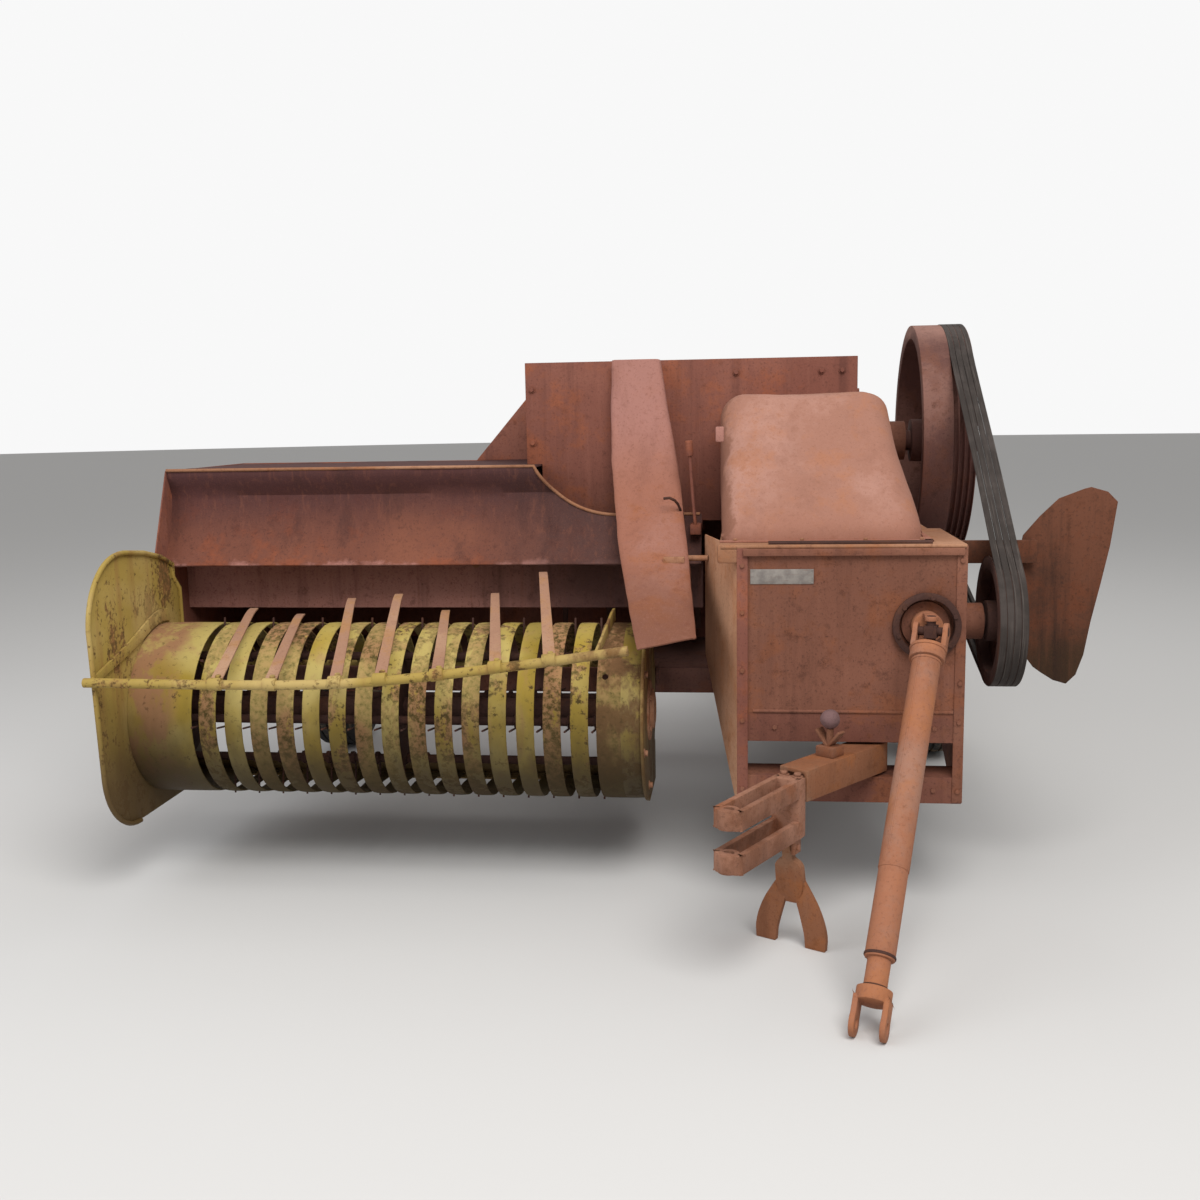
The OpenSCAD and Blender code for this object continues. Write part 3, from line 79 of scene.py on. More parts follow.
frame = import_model()
MIDDLE = (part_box("chamber_wall_pickup_side")[0].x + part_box("chamber_wall_belt_side")[1].x) / 2
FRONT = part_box("front_frame")[0].y


def spot(x, y, z):
    """Place in the frame of a point given from the machine's own planes."""
    return Vector((MIDDLE + x, FRONT + y, z))


def own(point):
    """Place from the machine's own planes of a point of the frame."""
    return Vector((point[0] - MIDDLE, point[1] - FRONT, point[2]))


# Where each joint turns, from the machine's own planes
PIVOTS = {joint["name"]: own(joint["pos_m"]) for joint in frame["joints"]}


def half_height(node):
    """Half the height of a CAD node, which is the radius of a wheel."""
    low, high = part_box(node)
    return (high.z - low.z) / 2


def on_circle(middle, radius, degrees):
    """Point of a circle, as its two coordinates."""
    turn = math.radians(degrees)
    return middle[0] + radius * math.cos(turn), middle[1] + radius * math.sin(turn)


# Selection and modelling helpers


# Points closer together than this are one
MERGE = 0.00002
# The way of an axis, and the two ways across it
ABOUT_X = (Vector((1, 0, 0)), Vector((0, 1, 0)), Vector((0, 0, 1)))
ABOUT_Z = (Vector((0, 0, 1)), Vector((1, 0, 0)), Vector((0, 1, 0)))


def deselect():
    """Leaves edit mode and deselects everything."""
    if bpy.context.object and bpy.context.object.mode != "OBJECT":
        bpy.ops.object.mode_set(mode="OBJECT")
    bpy.ops.object.select_all(action="DESELECT")


def pick(piece):
    """Selects one piece and nothing else."""
    deselect()
    piece.select_set(True)
    bpy.context.view_layer.objects.active = piece


def start_editing(piece):
    """Opens a piece in edit mode with its whole mesh selected."""
    pick(piece)
    bpy.ops.object.mode_set(mode="EDIT")
    bpy.ops.mesh.select_all(action="SELECT")


def stop_editing():
    """Leaves edit mode."""
    bpy.ops.object.mode_set(mode="OBJECT")


def settle(piece):
    """Puts the object's place into its mesh."""
    pick(piece)
    bpy.ops.object.transform_apply(location=True, rotation=True, scale=True)
    return piece


def modify(piece, kind, **settings):
    """Adds a modifier and applies it."""
    pick(piece)
    modifier = piece.modifiers.new(kind.title(), kind)
    for key, value in settings.items():
        setattr(modifier, key, value)
    bpy.ops.object.modifier_apply(modifier=modifier.name)


def soften(piece, angle=35):
    """Shades a piece smooth, apart from edges sharper than an angle in degrees."""
    pick(piece)
    bpy.ops.object.shade_smooth_by_angle(angle=math.radians(angle))
    return piece


def round_edges(piece, width, segments=2, angle=35, clamp=False, smooth=35):
    """Bevels the edges sharper than an angle in degrees, and shades the piece smooth."""
    modify(
        piece, "BEVEL", width=width, segments=segments, limit_method="ANGLE",
        angle_limit=math.radians(angle), use_clamp_overlap=clamp,
    )
    return soften(piece, smooth)


def outward(piece):
    """Turns every face of a closed mesh outward."""
    start_editing(piece)
    bpy.ops.mesh.remove_doubles(threshold=MERGE)
    bpy.ops.mesh.normals_make_consistent(inside=False)
    stop_editing()
    return piece


def block(name, low, high, edge=0.002):
    """Box between two corners, with rounded edges."""
    deselect()
    low, high = Vector(low), Vector(high)
    bpy.ops.mesh.primitive_cube_add(size=1, location=(low + high) / 2, scale=high - low)
    piece = bpy.context.object
    piece.name = name
    settle(piece)
    return round_edges(piece, edge) if edge else piece


def rod(name, start, end, radius, sides=20, edge=0.0):
    """Round bar between two points."""
    deselect()
    start, end = Vector(start), Vector(end)
    way = end - start
    bpy.ops.mesh.primitive_cylinder_add(
        vertices=sides, radius=radius, depth=way.length, location=(start + end) / 2,
        rotation=way.to_track_quat("Z", "Y").to_euler(),
    )
    piece = bpy.context.object
    piece.name = name
    settle(piece)
    return round_edges(piece, edge) if edge else soften(piece)


def loft(name, sections, closed=False):
    """Surface through sections, each a list of the same number of points."""
    deselect()
    rows, columns = len(sections), len(sections[0])
    bpy.ops.mesh.primitive_grid_add(x_subdivisions=columns - 1, y_subdivisions=rows - 1, size=1)
    piece = bpy.context.object
    piece.name = name
    for vertex in piece.data.vertices:
        column = round((vertex.co.x + 0.5) * (columns - 1))
        row = round((vertex.co.y + 0.5) * (rows - 1))
        vertex.co = sections[row][column]
    return outward(piece) if closed else piece


def spun(name, profile, middle, axes, steps=32):
    """Round piece: a profile of (distance along, radius) points, turned about an axis."""
    along, side, up = axes
    rows = []
    for k in range(steps + 1):
        angle = 2 * math.pi * k / steps
        out = side * math.cos(angle) + up * math.sin(angle)
        rows.append([middle + along * distance + out * radius for distance, radius in profile])
    return loft(name, rows, closed=True)


def sheet(piece, thickness, edge=0.0):
    """Gives a surface its thickness, on the side its faces point away from."""
    modify(piece, "SOLIDIFY", thickness=thickness, offset=-1)
    if edge:
        round_edges(piece, edge, angle=50)
    else:
        soften(piece)


def flip(piece):
    """Turns every face the other way."""
    start_editing(piece)
    bpy.ops.mesh.flip_normals()
    stop_editing()


def pipe(name, points, radius, sides=8):
    """Bent round bar through points, as a mesh with closed ends."""
    deselect()
    curve = bpy.data.curves.new(name, "CURVE")
    curve.dimensions = "3D"
    curve.bevel_depth = radius
    curve.bevel_resolution = max(0, sides // 4 - 1)
    curve.use_fill_caps = True
    spline = curve.splines.new("POLY")
    spline.points.add(len(points) - 1)
    for place, point in zip(spline.points, points):
        place.co = (*point, 1)
    piece = bpy.data.objects.new(name, curve)
    bpy.context.scene.collection.objects.link(piece)
    pick(piece)
    bpy.ops.object.convert(target="MESH")
    piece = bpy.context.object
    piece.name = name
    return soften(outward(piece), 50)


def together(name, pieces):
    """Joins pieces into one object."""
    deselect()
    for piece in pieces:
        piece.select_set(True)
    bpy.context.view_layer.objects.active = pieces[0]
    bpy.ops.object.join()
    pieces[0].name = name
    return pieces[0]


def copy_of(piece, name):
    """Copy of a piece with its own mesh."""
    twin = piece.copy()
    twin.data = piece.data.copy()
    twin.name = name
    bpy.context.scene.collection.objects.link(twin)
    return twin


def smooth_line(points, count):
    """count points on a smooth line through the given points, evenly spaced along it."""
    points = [Vector(p) for p in points]
    ends = [2 * points[0] - points[1]] + points + [2 * points[-1] - points[-2]]
    steps = 24
    dense = []
    for i in range(len(points) - 1):
        a, b, c, d = ends[i:i + 4]
        for k in range(steps):
            t = k / steps
            dense.append(0.5 * (
                2 * b + (c - a) * t + (2 * a - 5 * b + 4 * c - d) * t * t
                + (3 * b - a - 3 * c + d) * t * t * t
            ))
    dense.append(points[-1])
    lengths = [0.0]
    for a, b in zip(dense, dense[1:]):
        lengths.append(lengths[-1] + (b - a).length)
    line = []
    k = 0
    for i in range(count):
        wanted = lengths[-1] * i / (count - 1)
        while k < len(dense) - 2 and lengths[k + 1] < wanted:
            k += 1
        step = lengths[k + 1] - lengths[k]
        share = (wanted - lengths[k]) / step if step else 0
        line.append(dense[k].lerp(dense[k + 1], min(max(share, 0), 1)))
    return line


def dent(piece, depth, size, seed=0.0):
    """Pushes a sheet in and out by up to depth, in waves about size across."""
    for vertex in piece.data.vertices:
        at = vertex.co / size + Vector((seed, seed * 1.7, -seed))
        vertex.co += vertex.normal * depth * noise.noise(at)
    return piece


def worked(node, edge):
    """Copy of a CAD node with merged faces and worn edges."""
    piece = copy_of(frame["nodes"][node], node + "_worked")
    for key in list(piece.keys()):
        del piece[key]
    piece.parent = None
    piece.matrix_world = Matrix.Identity(4)
    start_editing(piece)
    bpy.ops.mesh.remove_doubles(threshold=MERGE)
    bpy.ops.mesh.dissolve_limited(angle_limit=math.radians(0.6))
    stop_editing()
    return round_edges(piece, edge, angle=40)


def dress(piece, finish, body, slot, *nodes):
    """Gives a piece its material and body, and hides the CAD nodes it stands for. slot is not used."""
    piece.data.materials.clear()
    piece.data.materials.append(finish)
    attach(piece, body)
    if nodes:
        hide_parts(*nodes)


def hex_bolts(name, places, across=0.019, height=0.008, washer=True):
    """Bolt heads on washers. Each place is a point and the way the head points."""
    lift = 0.002 if washer else 0
    deselect()
    bpy.ops.mesh.primitive_cylinder_add(vertices=6, radius=across / 2 / math.cos(math.pi / 6), depth=height)
    head = bpy.context.object
    head.data.transform(Matrix.Translation((0, 0, height / 2 + lift)))
    head.matrix_world = Matrix.Identity(4)
    round_edges(head, across * 0.06, segments=1)
    if washer:
        bpy.ops.mesh.primitive_cylinder_add(vertices=16, radius=across * 0.85, depth=2 * lift)
        ring = bpy.context.object
        head = together("bolt", [head, ring])
    copies = []
    for point, way in places:
        twin = copy_of(head, "bolt")
        turn = Vector(way).to_track_quat("Z", "Y").to_matrix().to_4x4()
        twin.data.transform(Matrix.Translation(point) @ turn)
        copies.append(twin)
    bpy.data.objects.remove(head)
    return soften(together(name, copies))


# Shader helpers


def paint(red, green, blue):
    """Linear colour of a colour given as display values from 0 to 255."""
    def linear(value):
        value /= 255
        return value / 12.92 if value <= 0.04045 else ((value + 0.055) / 1.055) ** 2.4
    return (linear(red), linear(green), linear(blue), 1.0)


class Value:
    """An output socket that takes Python's operators, each of which adds a Math node."""

    def __init__(self, finish, socket):
        self.finish = finish
        self.socket = socket

    def joined(self, operation, other, reflected=False):
        first, second = (other, self) if reflected else (self, other)
        return self.finish.node("ShaderNodeMath", {"operation": operation}, {0: first, 1: second})

    def __add__(self, other):
        return self.joined("ADD", other)

    def __radd__(self, other):
        return self.joined("ADD", other, True)

    def __sub__(self, other):
        return self.joined("SUBTRACT", other)

    def __rsub__(self, other):
        return self.joined("SUBTRACT", other, True)

    def __mul__(self, other):
        return self.joined("MULTIPLY", other)

    def __rmul__(self, other):
        return self.joined("MULTIPLY", other, True)

    def __truediv__(self, other):
        return self.joined("DIVIDE", other)

    def __rtruediv__(self, other):
        return self.joined("DIVIDE", other, True)


class Finish:
    """One material and the nodes behind its shader."""

    def __init__(self, name, metallic=0.0):
        self.material = bpy.data.materials.new(name)
        self.material.use_nodes = True
        self.tree = self.material.node_tree
        self.shader = self.tree.nodes["Principled BSDF"]
        for socket, value in (("Roughness", 0.85), ("Metallic", metallic), ("Specular IOR Level", 0.3)):
            self.shader.inputs[socket].default_value = value
        self.place = self.node("ShaderNodeTexCoord", {}, {}, "Object")
        self.x = self.node("ShaderNodeSeparateXYZ", {}, {0: self.place}, "X")
        self.z = self.node("ShaderNodeSeparateXYZ", {}, {0: self.place}, "Z")

    def node(self, kind, settings, links, output=0):
        """Adds a node with its settings, then links or sets its sockets, and gives an output."""
        made = self.tree.nodes.new(kind)
        for key, value in settings.items():
            setattr(made, key, value)
        for key, value in links.items():
            if isinstance(value, Value):
                self.tree.links.new(value.socket, made.inputs[key])
            else:
                made.inputs[key].default_value = value
        return Value(self, made.outputs[output])

    def noise(self, scale, detail=4.0, rough=0.55, stretch=(1, 1, 1), shift=0.0):
        """Cloudy value around 0.5. scale is how many waves fit in a metre."""
        vector = self.node(
            "ShaderNodeMapping", {},
            {"Vector": self.place, "Location": (shift, shift, shift), "Scale": stretch},
        )
        return self.node(
            "ShaderNodeTexNoise", {},
            {"Vector": vector, "Scale": scale, "Detail": detail, "Roughness": rough},
        )

    def between(self, value, low, high):
        """0 below low, 1 above high, and smooth in between."""
        return self.node(
            "ShaderNodeMapRange", {"interpolation_type": "SMOOTHSTEP"},
            {"Value": value, "From Min": low, "From Max": high},
        )

    def mix(self, amount, first, second):
        """Colour that goes from first to second as amount goes from 0 to 1."""
        return self.node(
            "ShaderNodeMix", {"data_type": "RGBA", "clamp_factor": True},
            {0: amount, 6: first, 7: second}, 2,
        )

    def close(self, colour, roughness, height, depth):
        """Links the colour, roughness and bump to the shader and gives the material."""
        self.tree.links.new(colour.socket, self.shader.inputs["Base Color"])
        self.tree.links.new(roughness.socket, self.shader.inputs["Roughness"])
        bump = self.node("ShaderNodeBump", {}, {"Strength": 0.6, "Distance": depth, "Height": height})
        self.tree.links.new(bump.socket, self.shader.inputs["Normal"])
        return self.material


def rusty(name, body, pale, deep, warm, runs=0.45, pits=0.5, height_tints_and_shading=None, side=None):
    """Rusted steel: cloudy body and pale colour, warm blooms, dark pits and streaks.

    Each entry of the height list is (low, high, colour, amount): height in metres over which a colour comes
    in. Most entries are painted shade and painted light: a shaded top, a lit top, a lit lower panel, a
    darker foot.
    side is one such entry for x from the chamber's middle, and is painted shade on one side of a piece.
    """
    f = Finish(name)
    cloud = f.noise(2.3, 3, 0.5)
    bloom = f.noise(7.5, 6, 0.66, shift=3.1)
    mottle = f.noise(34, 8, 0.72, shift=1.3)
    speck = f.noise(150, 5, 0.7, shift=6.4)
    grain = f.noise(420, 3, 0.6, shift=5.2)
    streak = f.noise(13, 5, 0.65, stretch=(1, 1, 0.07), shift=2.2)
    thread = f.noise(70, 4, 0.6, stretch=(1, 1, 0.05), shift=8.3)
    rough = (mottle - 0.5) * 0.4
    colour = f.mix(f.between(cloud + rough, 0.47, 0.63), body, pale)
    colour = f.mix(f.between(bloom + rough, 0.48, 0.66) * 0.75, colour, warm)
    # Tints by height: most of them are painted shade and painted light, set for each finish
    for low, high, tint, amount in height_tints_and_shading or ():
        colour = f.mix(f.between(f.z + (bloom - 0.5) * 0.12, low, high) * amount, colour, tint)
    # Painted shade on one side of a piece, by x
    if side:
        x = f.x + (bloom - 0.5) * 0.3
        colour = f.mix(f.between(x, MIDDLE + side[0], MIDDLE + side[1]) * side[3], colour, side[2])
    colour = f.mix(f.between(streak, 0.5, 0.72) * runs, colour, deep)
    colour = f.mix(f.between(thread, 0.52, 0.7) * runs * 0.5, colour, pale)
    colour = f.mix(f.between(mottle, 0.52, 0.68) * pits, colour, deep)
    colour = f.mix(f.between(speck, 0.54, 0.66) * (0.25 + 0.5 * pits), colour, deep)
    colour = f.mix(f.between(grain, 0.5, 0.72) * 0.3, colour, pale)
    height = mottle * 0.5 + speck * 0.3 + grain * 0.15 + bloom * 0.6
    return f.close(colour, 0.72 + mottle * 0.25, height, 0.0022)


def worn_yellow(name, yellow, pale, rust, grime_and_shade, wear=0.5, first=0, pitch=0, near=None, far=None):
    """Old yellow paint that chips to rust, with painted shade that darkens it lower down. Where pitch is
    given, each band wears its own way, and the bands' tops get a painted highlight.

    near and far are (x, x, colour): from the first x to the second patches of a colour come in.
    """
    f = Finish(name)
    cloud = f.noise(4.0, 3, 0.5)
    patch = f.noise(16, 5, 0.62, stretch=(1, 1, 0.45), shift=2.7)
    chip = f.noise(70, 5, 0.7, shift=4.4)
    grain = f.noise(260, 3, 0.6, shift=1.1)
    streak = f.noise(22, 4, 0.6, stretch=(1, 1, 0.08), shift=0.7)
    colour = f.mix(f.between(cloud, 0.4, 0.62), yellow, pale)
    colour = f.mix(f.between(streak, 0.5, 0.72) * 0.45, colour, rust)
    lack = patch * 0.65 + chip * 0.35
    if pitch:
        step = (f.x - first) / pitch
        number = f.node("ShaderNodeMath", {"operation": "FLOOR"}, {0: step})
        band = f.node("ShaderNodeTexWhiteNoise", {"noise_dimensions": "1D"}, {"W": number})
        lack = lack + (band - 0.5) * 0.3
        # Painted highlight: the bands' tops are paler
        colour = f.mix(f.between(f.z, 0.66, 0.70) * 0.5, colour, pale)
    bare = f.between(lack, 0.60 - 0.16 * wear, 0.66 - 0.16 * wear)
    rust_colour = f.mix(f.between(chip, 0.4, 0.62), rust, grime_and_shade)
    rust_colour = f.mix(f.between(cloud, 0.45, 0.6) * 0.5, rust_colour, pale)
    colour = f.mix(bare * 0.85, colour, rust_colour)
    for start, end, tint in filter(None, (near, far)):
        side = f.between(f.x, MIDDLE + start, MIDDLE + end)
        colour = f.mix(side * (0.25 + 0.65 * f.between(patch, 0.42, 0.56)), colour, tint)
    # Painted shade: the colour goes to the dark colour lower down
    low = 1 - f.between(f.z + (patch - 0.5) * 0.16, 0.28, 0.66)
    colour = f.mix(low * 0.94, colour, grime_and_shade)
    colour = f.mix(f.between(chip, 0.56, 0.68) * 0.5, colour, grime_and_shade)
    height = (1 - bare) * 0.5 + chip * 0.35 + grain * 0.2
    return f.close(colour, 0.62 + bare * 0.25 + grain * 0.1, height, 0.0014)


def belt_rubber(name):
    """Dusty grey belt rubber with lengthways wear lines."""
    f = Finish(name)
    line = f.noise(420, 2, 0.5, stretch=(1, 0.02, 0.02))
    cloud = f.noise(9, 4, 0.6)
    crack = f.noise(190, 5, 0.7)
    colour = f.mix(f.between(cloud, 0.4, 0.65), paint(48, 42, 39), paint(64, 57, 54))
    colour = f.mix(f.between(line, 0.56, 0.74) * 0.6, colour, paint(92, 84, 79))
    colour = f.mix(f.between(crack, 0.56, 0.72) * 0.45, colour, paint(42, 37, 35))
    return f.close(colour, 0.78 + crack * 0.15, line * 0.5 + crack * 0.5, 0.001)


def tyre_rubber(name):
    """Weathered black tyre with dried mud low down and in the grooves."""
    f = Finish(name)
    cloud = f.noise(8, 4, 0.6)
    crack = f.noise(120, 6, 0.7)
    colour = f.mix(f.between(cloud, 0.4, 0.7), paint(44, 42, 41), paint(70, 66, 62))
    mud = f.between(cloud + crack * 0.3, 0.62, 0.78) * (1 - f.between(f.z, 0.1, 0.55))
    colour = f.mix(mud, colour, paint(112, 96, 76))
    colour = f.mix(f.between(crack, 0.58, 0.75) * 0.4, colour, paint(90, 85, 80))
    return f.close(colour, 0.8 + crack * 0.12, crack, 0.0012)


def grey_label(name):
    """Weathered bare tin plate."""
    f = Finish(name, metallic=0.25)
    cloud = f.noise(30, 4, 0.6)
    scratch = f.noise(300, 3, 0.6, stretch=(0.1, 1, 1))
    colour = f.mix(f.between(cloud, 0.4, 0.65), paint(140, 134, 128), paint(118, 112, 108))
    colour = f.mix(f.between(scratch, 0.58, 0.7) * 0.35, colour, paint(120, 88, 74))
    return f.close(colour, 0.55 + cloud * 0.3, scratch * 0.5 + cloud * 0.5, 0.0006)


FINISHES = {}
# Stripper bands: how many, the middle of the first one and the distance from band to band
BAND_COUNT = 15
BAND_FIRST = -1.731
BAND_PITCH = 0.073


def make_finishes(panel_paint, band_paint, housing_rust):
    """Fills FINISHES with one material for each finish."""
    FINISHES.update(
        front=rusty(
            "rust_front_plate", paint(116, 74, 58), paint(132, 88, 70), paint(66, 38, 30),
            paint(128, 76, 50),
        ),
        tan=rusty(
            "rust_tan_edge", paint(140, 98, 72), paint(160, 118, 92), paint(92, 54, 40),
            paint(150, 96, 62), runs=0.3,
        ),
        cover=rusty(
            "rust_crank_cover", paint(148, 104, 88), paint(164, 122, 108), paint(116, 76, 62),
            paint(156, 104, 78), runs=0.25, pits=0.25,
            # Painted shade darkens the rounded left side; the foot is a little darker
            height_tints_and_shading=[(1.05, 0.97, paint(146, 98, 80), 0.5)],
            side=(-0.300, -0.335, paint(122, 80, 62), 0.8),
        ),
        band=rusty(
            "rust_drive_cover", paint(144, 94, 76), paint(154, 108, 94), paint(104, 62, 50),
            paint(148, 90, 58), runs=0.3, pits=0.28,
            height_tints_and_shading=[(1.02, 1.3, paint(164, 118, 110), 0.75), (0.95, 0.72, paint(106, 66, 48), 0.8)],
        ),
        hood=rusty(
            "rust_hood", paint(108, 64, 50), paint(122, 74, 56), paint(58, 34, 32),
            paint(134, 72, 46), runs=0.5, pits=0.4,
            # Painted shadow darkens the top of the hollow, painted light lifts the lower panel under the
            # ledge, and painted shade darkens the side by the cut
            height_tints_and_shading=[(0.88, 1.10, paint(66, 38, 40), 0.92), (0.862, 0.842, paint(160, 112, 102), 0.9)],
            side=(-1.15, -0.72, paint(60, 42, 42), 0.75),
        ),
        panel=rusty(
            "rust_feeder_floor", paint(100, 68, 60), paint(114, 78, 68), paint(56, 36, 32),
            paint(116, 70, 52), runs=0.4,
        ),
        housing=rusty(
            "rust_housing", housing_rust, paint(132, 84, 70), paint(74, 42, 36),
            paint(138, 78, 52), runs=0.55, pits=0.45,
        ),
        chamber=rusty(
            "rust_chamber", paint(108, 66, 54), paint(128, 84, 66), paint(62, 36, 30),
            paint(126, 74, 48),
        ),
        dark=rusty(
            "rust_dark_iron", paint(66, 42, 36), paint(84, 56, 48), paint(38, 26, 24),
            paint(88, 54, 38), runs=0.3,
        ),
        bar=rusty(
            "rust_bar", paint(128, 82, 56), paint(134, 100, 78), paint(80, 46, 30),
            paint(142, 86, 48), runs=0.3, pits=0.35,
        ),
        strap=rusty(
            "rust_hitch", paint(116, 76, 56), paint(150, 108, 88), paint(70, 42, 32),
            paint(128, 76, 46), runs=0.25, pits=0.35,
        ),
        shaft=rusty(
            "rust_drive_shaft", paint(150, 98, 72), paint(150, 110, 92), paint(100, 60, 46),
            paint(160, 102, 66), runs=0.3, pits=0.25,
        ),
        wheel=rusty(
            "rust_flywheel", paint(92, 60, 54), paint(124, 88, 78), paint(52, 36, 34),
            # Painted highlight: the flywheel's top is lighter
            paint(104, 64, 50), runs=0.2, pits=0.35, height_tints_and_shading=[(1.46, 1.54, paint(160, 120, 108), 0.6)],
        ),
        guard=rusty(
            "rust_belt_guard", paint(74, 44, 30), paint(98, 58, 40), paint(42, 26, 18),
            paint(100, 54, 32), runs=0.85, pits=0.35, height_tints_and_shading=[(0.74, 0.60, paint(52, 38, 20), 0.7)],
        ),
        yellow=worn_yellow(
            "paint_yellow", panel_paint, paint(176, 152, 94), paint(132, 88, 56),
            paint(80, 60, 32), near=(-0.9, -0.6, paint(112, 80, 46)),
        ),
        bands=worn_yellow(
            "paint_bands", band_paint, paint(176, 158, 92), paint(154, 112, 84),
            # The dark colour is also the painted shade low on the bands
            paint(56, 44, 22), wear=0.72, first=MIDDLE + BAND_FIRST - BAND_PITCH / 2, pitch=BAND_PITCH,
            near=(-0.70, -0.66, paint(96, 68, 42)), far=(-1.80, -1.86, paint(150, 108, 80)),
        ),
        rim=worn_yellow(
            "paint_rim", paint(150, 132, 74), paint(168, 150, 96), paint(120, 78, 54),
            paint(76, 50, 34), wear=0.8,
        ),
        fingers=rusty(
            "rust_fingers", paint(154, 116, 94), paint(170, 134, 108), paint(104, 72, 56),
            paint(162, 118, 74), runs=0.15, pits=0.25,
        ),
        # Lighter than the tan finish: painted light on the cheek's side face, which lies in shade
        cheek=rusty(
            "rust_cheek_lit", paint(168, 120, 90), paint(186, 140, 110), paint(112, 72, 52),
            paint(172, 114, 74), runs=0.3, pits=0.35,
        ),
        belt=belt_rubber("belt_rubber"),
        tyre=tyre_rubber("tyre_rubber"),
        label=grey_label("label_plate"),
        knob=rusty(
            "rust_knob", paint(110, 84, 84), paint(130, 102, 98), paint(66, 48, 48),
            paint(114, 80, 70), runs=0.1,
        ),
    )


# Finishes and worn edges on the machine's own pieces


# Which finish each CAD node takes
NODE_FINISH = {
    "front_frame": "chamber", "front_plate": "front", "front_cheek": "cheek", "top_deck": "tan",
    "input_ring": "dark", "input_gearbox": "front", "crank_cover": "cover", "main_gearbox": "front",
    "chamber_floor": "dark", "chamber_wall_belt_side": "chamber",
    "chamber_wall_pickup_side": "chamber", "chamber_roof": "chamber", "chamber_rails": "housing",
    "plunger": "dark", "knotters": "housing", "needle_yoke": "housing", "tension_rails": "chamber",
    "tension_screws": "housing", "feeder_floor": "panel", "feeder_back": "housing",
    "feeder_hood": "hood", "feeder_end": "housing", "feeder_fingers": "dark",
    "tall_housing": "housing", "drive_cover": "band", "axle_beam": "housing", "belts": "belt",
    "belt_guard": "guard", "twine_box": "housing", "drawbar_pin": "dark", "input_yoke": "shaft",
    "flywheel": "wheel", "sheave": "dark", "wheel_rim_belt_side": "rim", "tyre_belt_side": "tyre",
    "wheel_rim_pickup_side": "rim", "tyre_pickup_side": "tyre", "drawbar": "bar",
    "hitch_loops": "strap", "latch": "strap", "stand": "bar", "pickup_panels": "yellow",
    "pickup_frame": "yellow", "stripper_bands": "bands", "wind_guard": "yellow",
    "tine_reel": "dark", "joint_cross": "dark", "drive_shaft_tube": "shaft",
    "drive_shaft_end": "shaft", "twine_lid": "housing", "metering_wheel": "dark",
}
# Nodes that get worn edges on a copy
EDGED = (
    "front_frame", "front_plate", "front_cheek", "top_deck", "input_ring", "input_gearbox",
    "chamber_rails", "knotters", "needle_yoke", "tension_rails", "tension_screws", "feeder_end",
    "tall_housing", "axle_beam", "belt_guard", "twine_box", "twine_lid", "input_yoke", "sheave",
    "drawbar", "pickup_panels", "pickup_frame", "flywheel", "metering_wheel",
    "wheel_rim_belt_side", "wheel_rim_pickup_side", "drive_shaft_tube", "drive_shaft_end",
)
# The record's material slot of each node
SLOTS = {part["node"]: part["material_slot"] for part in frame["record"]["subparts"]}


def finish_nodes():
    """Puts each CAD node's finish on it."""
    for node, key in NODE_FINISH.items():
        piece = frame["nodes"][node]
        if not piece.material_slots:
            piece.data.materials.append(FINISHES[key])
        for place in piece.material_slots:
            place.material = FINISHES[key]


def wear_edges(width):
    """Puts a copy with worn edges in place of each node in EDGED."""
    for node in EDGED:
        piece = worked(node, width)
        body = frame["nodes"][node]["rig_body"]
        dress(piece, FINISHES[NODE_FINISH[node]], body, SLOTS[node], node)


# Sheet metal covers


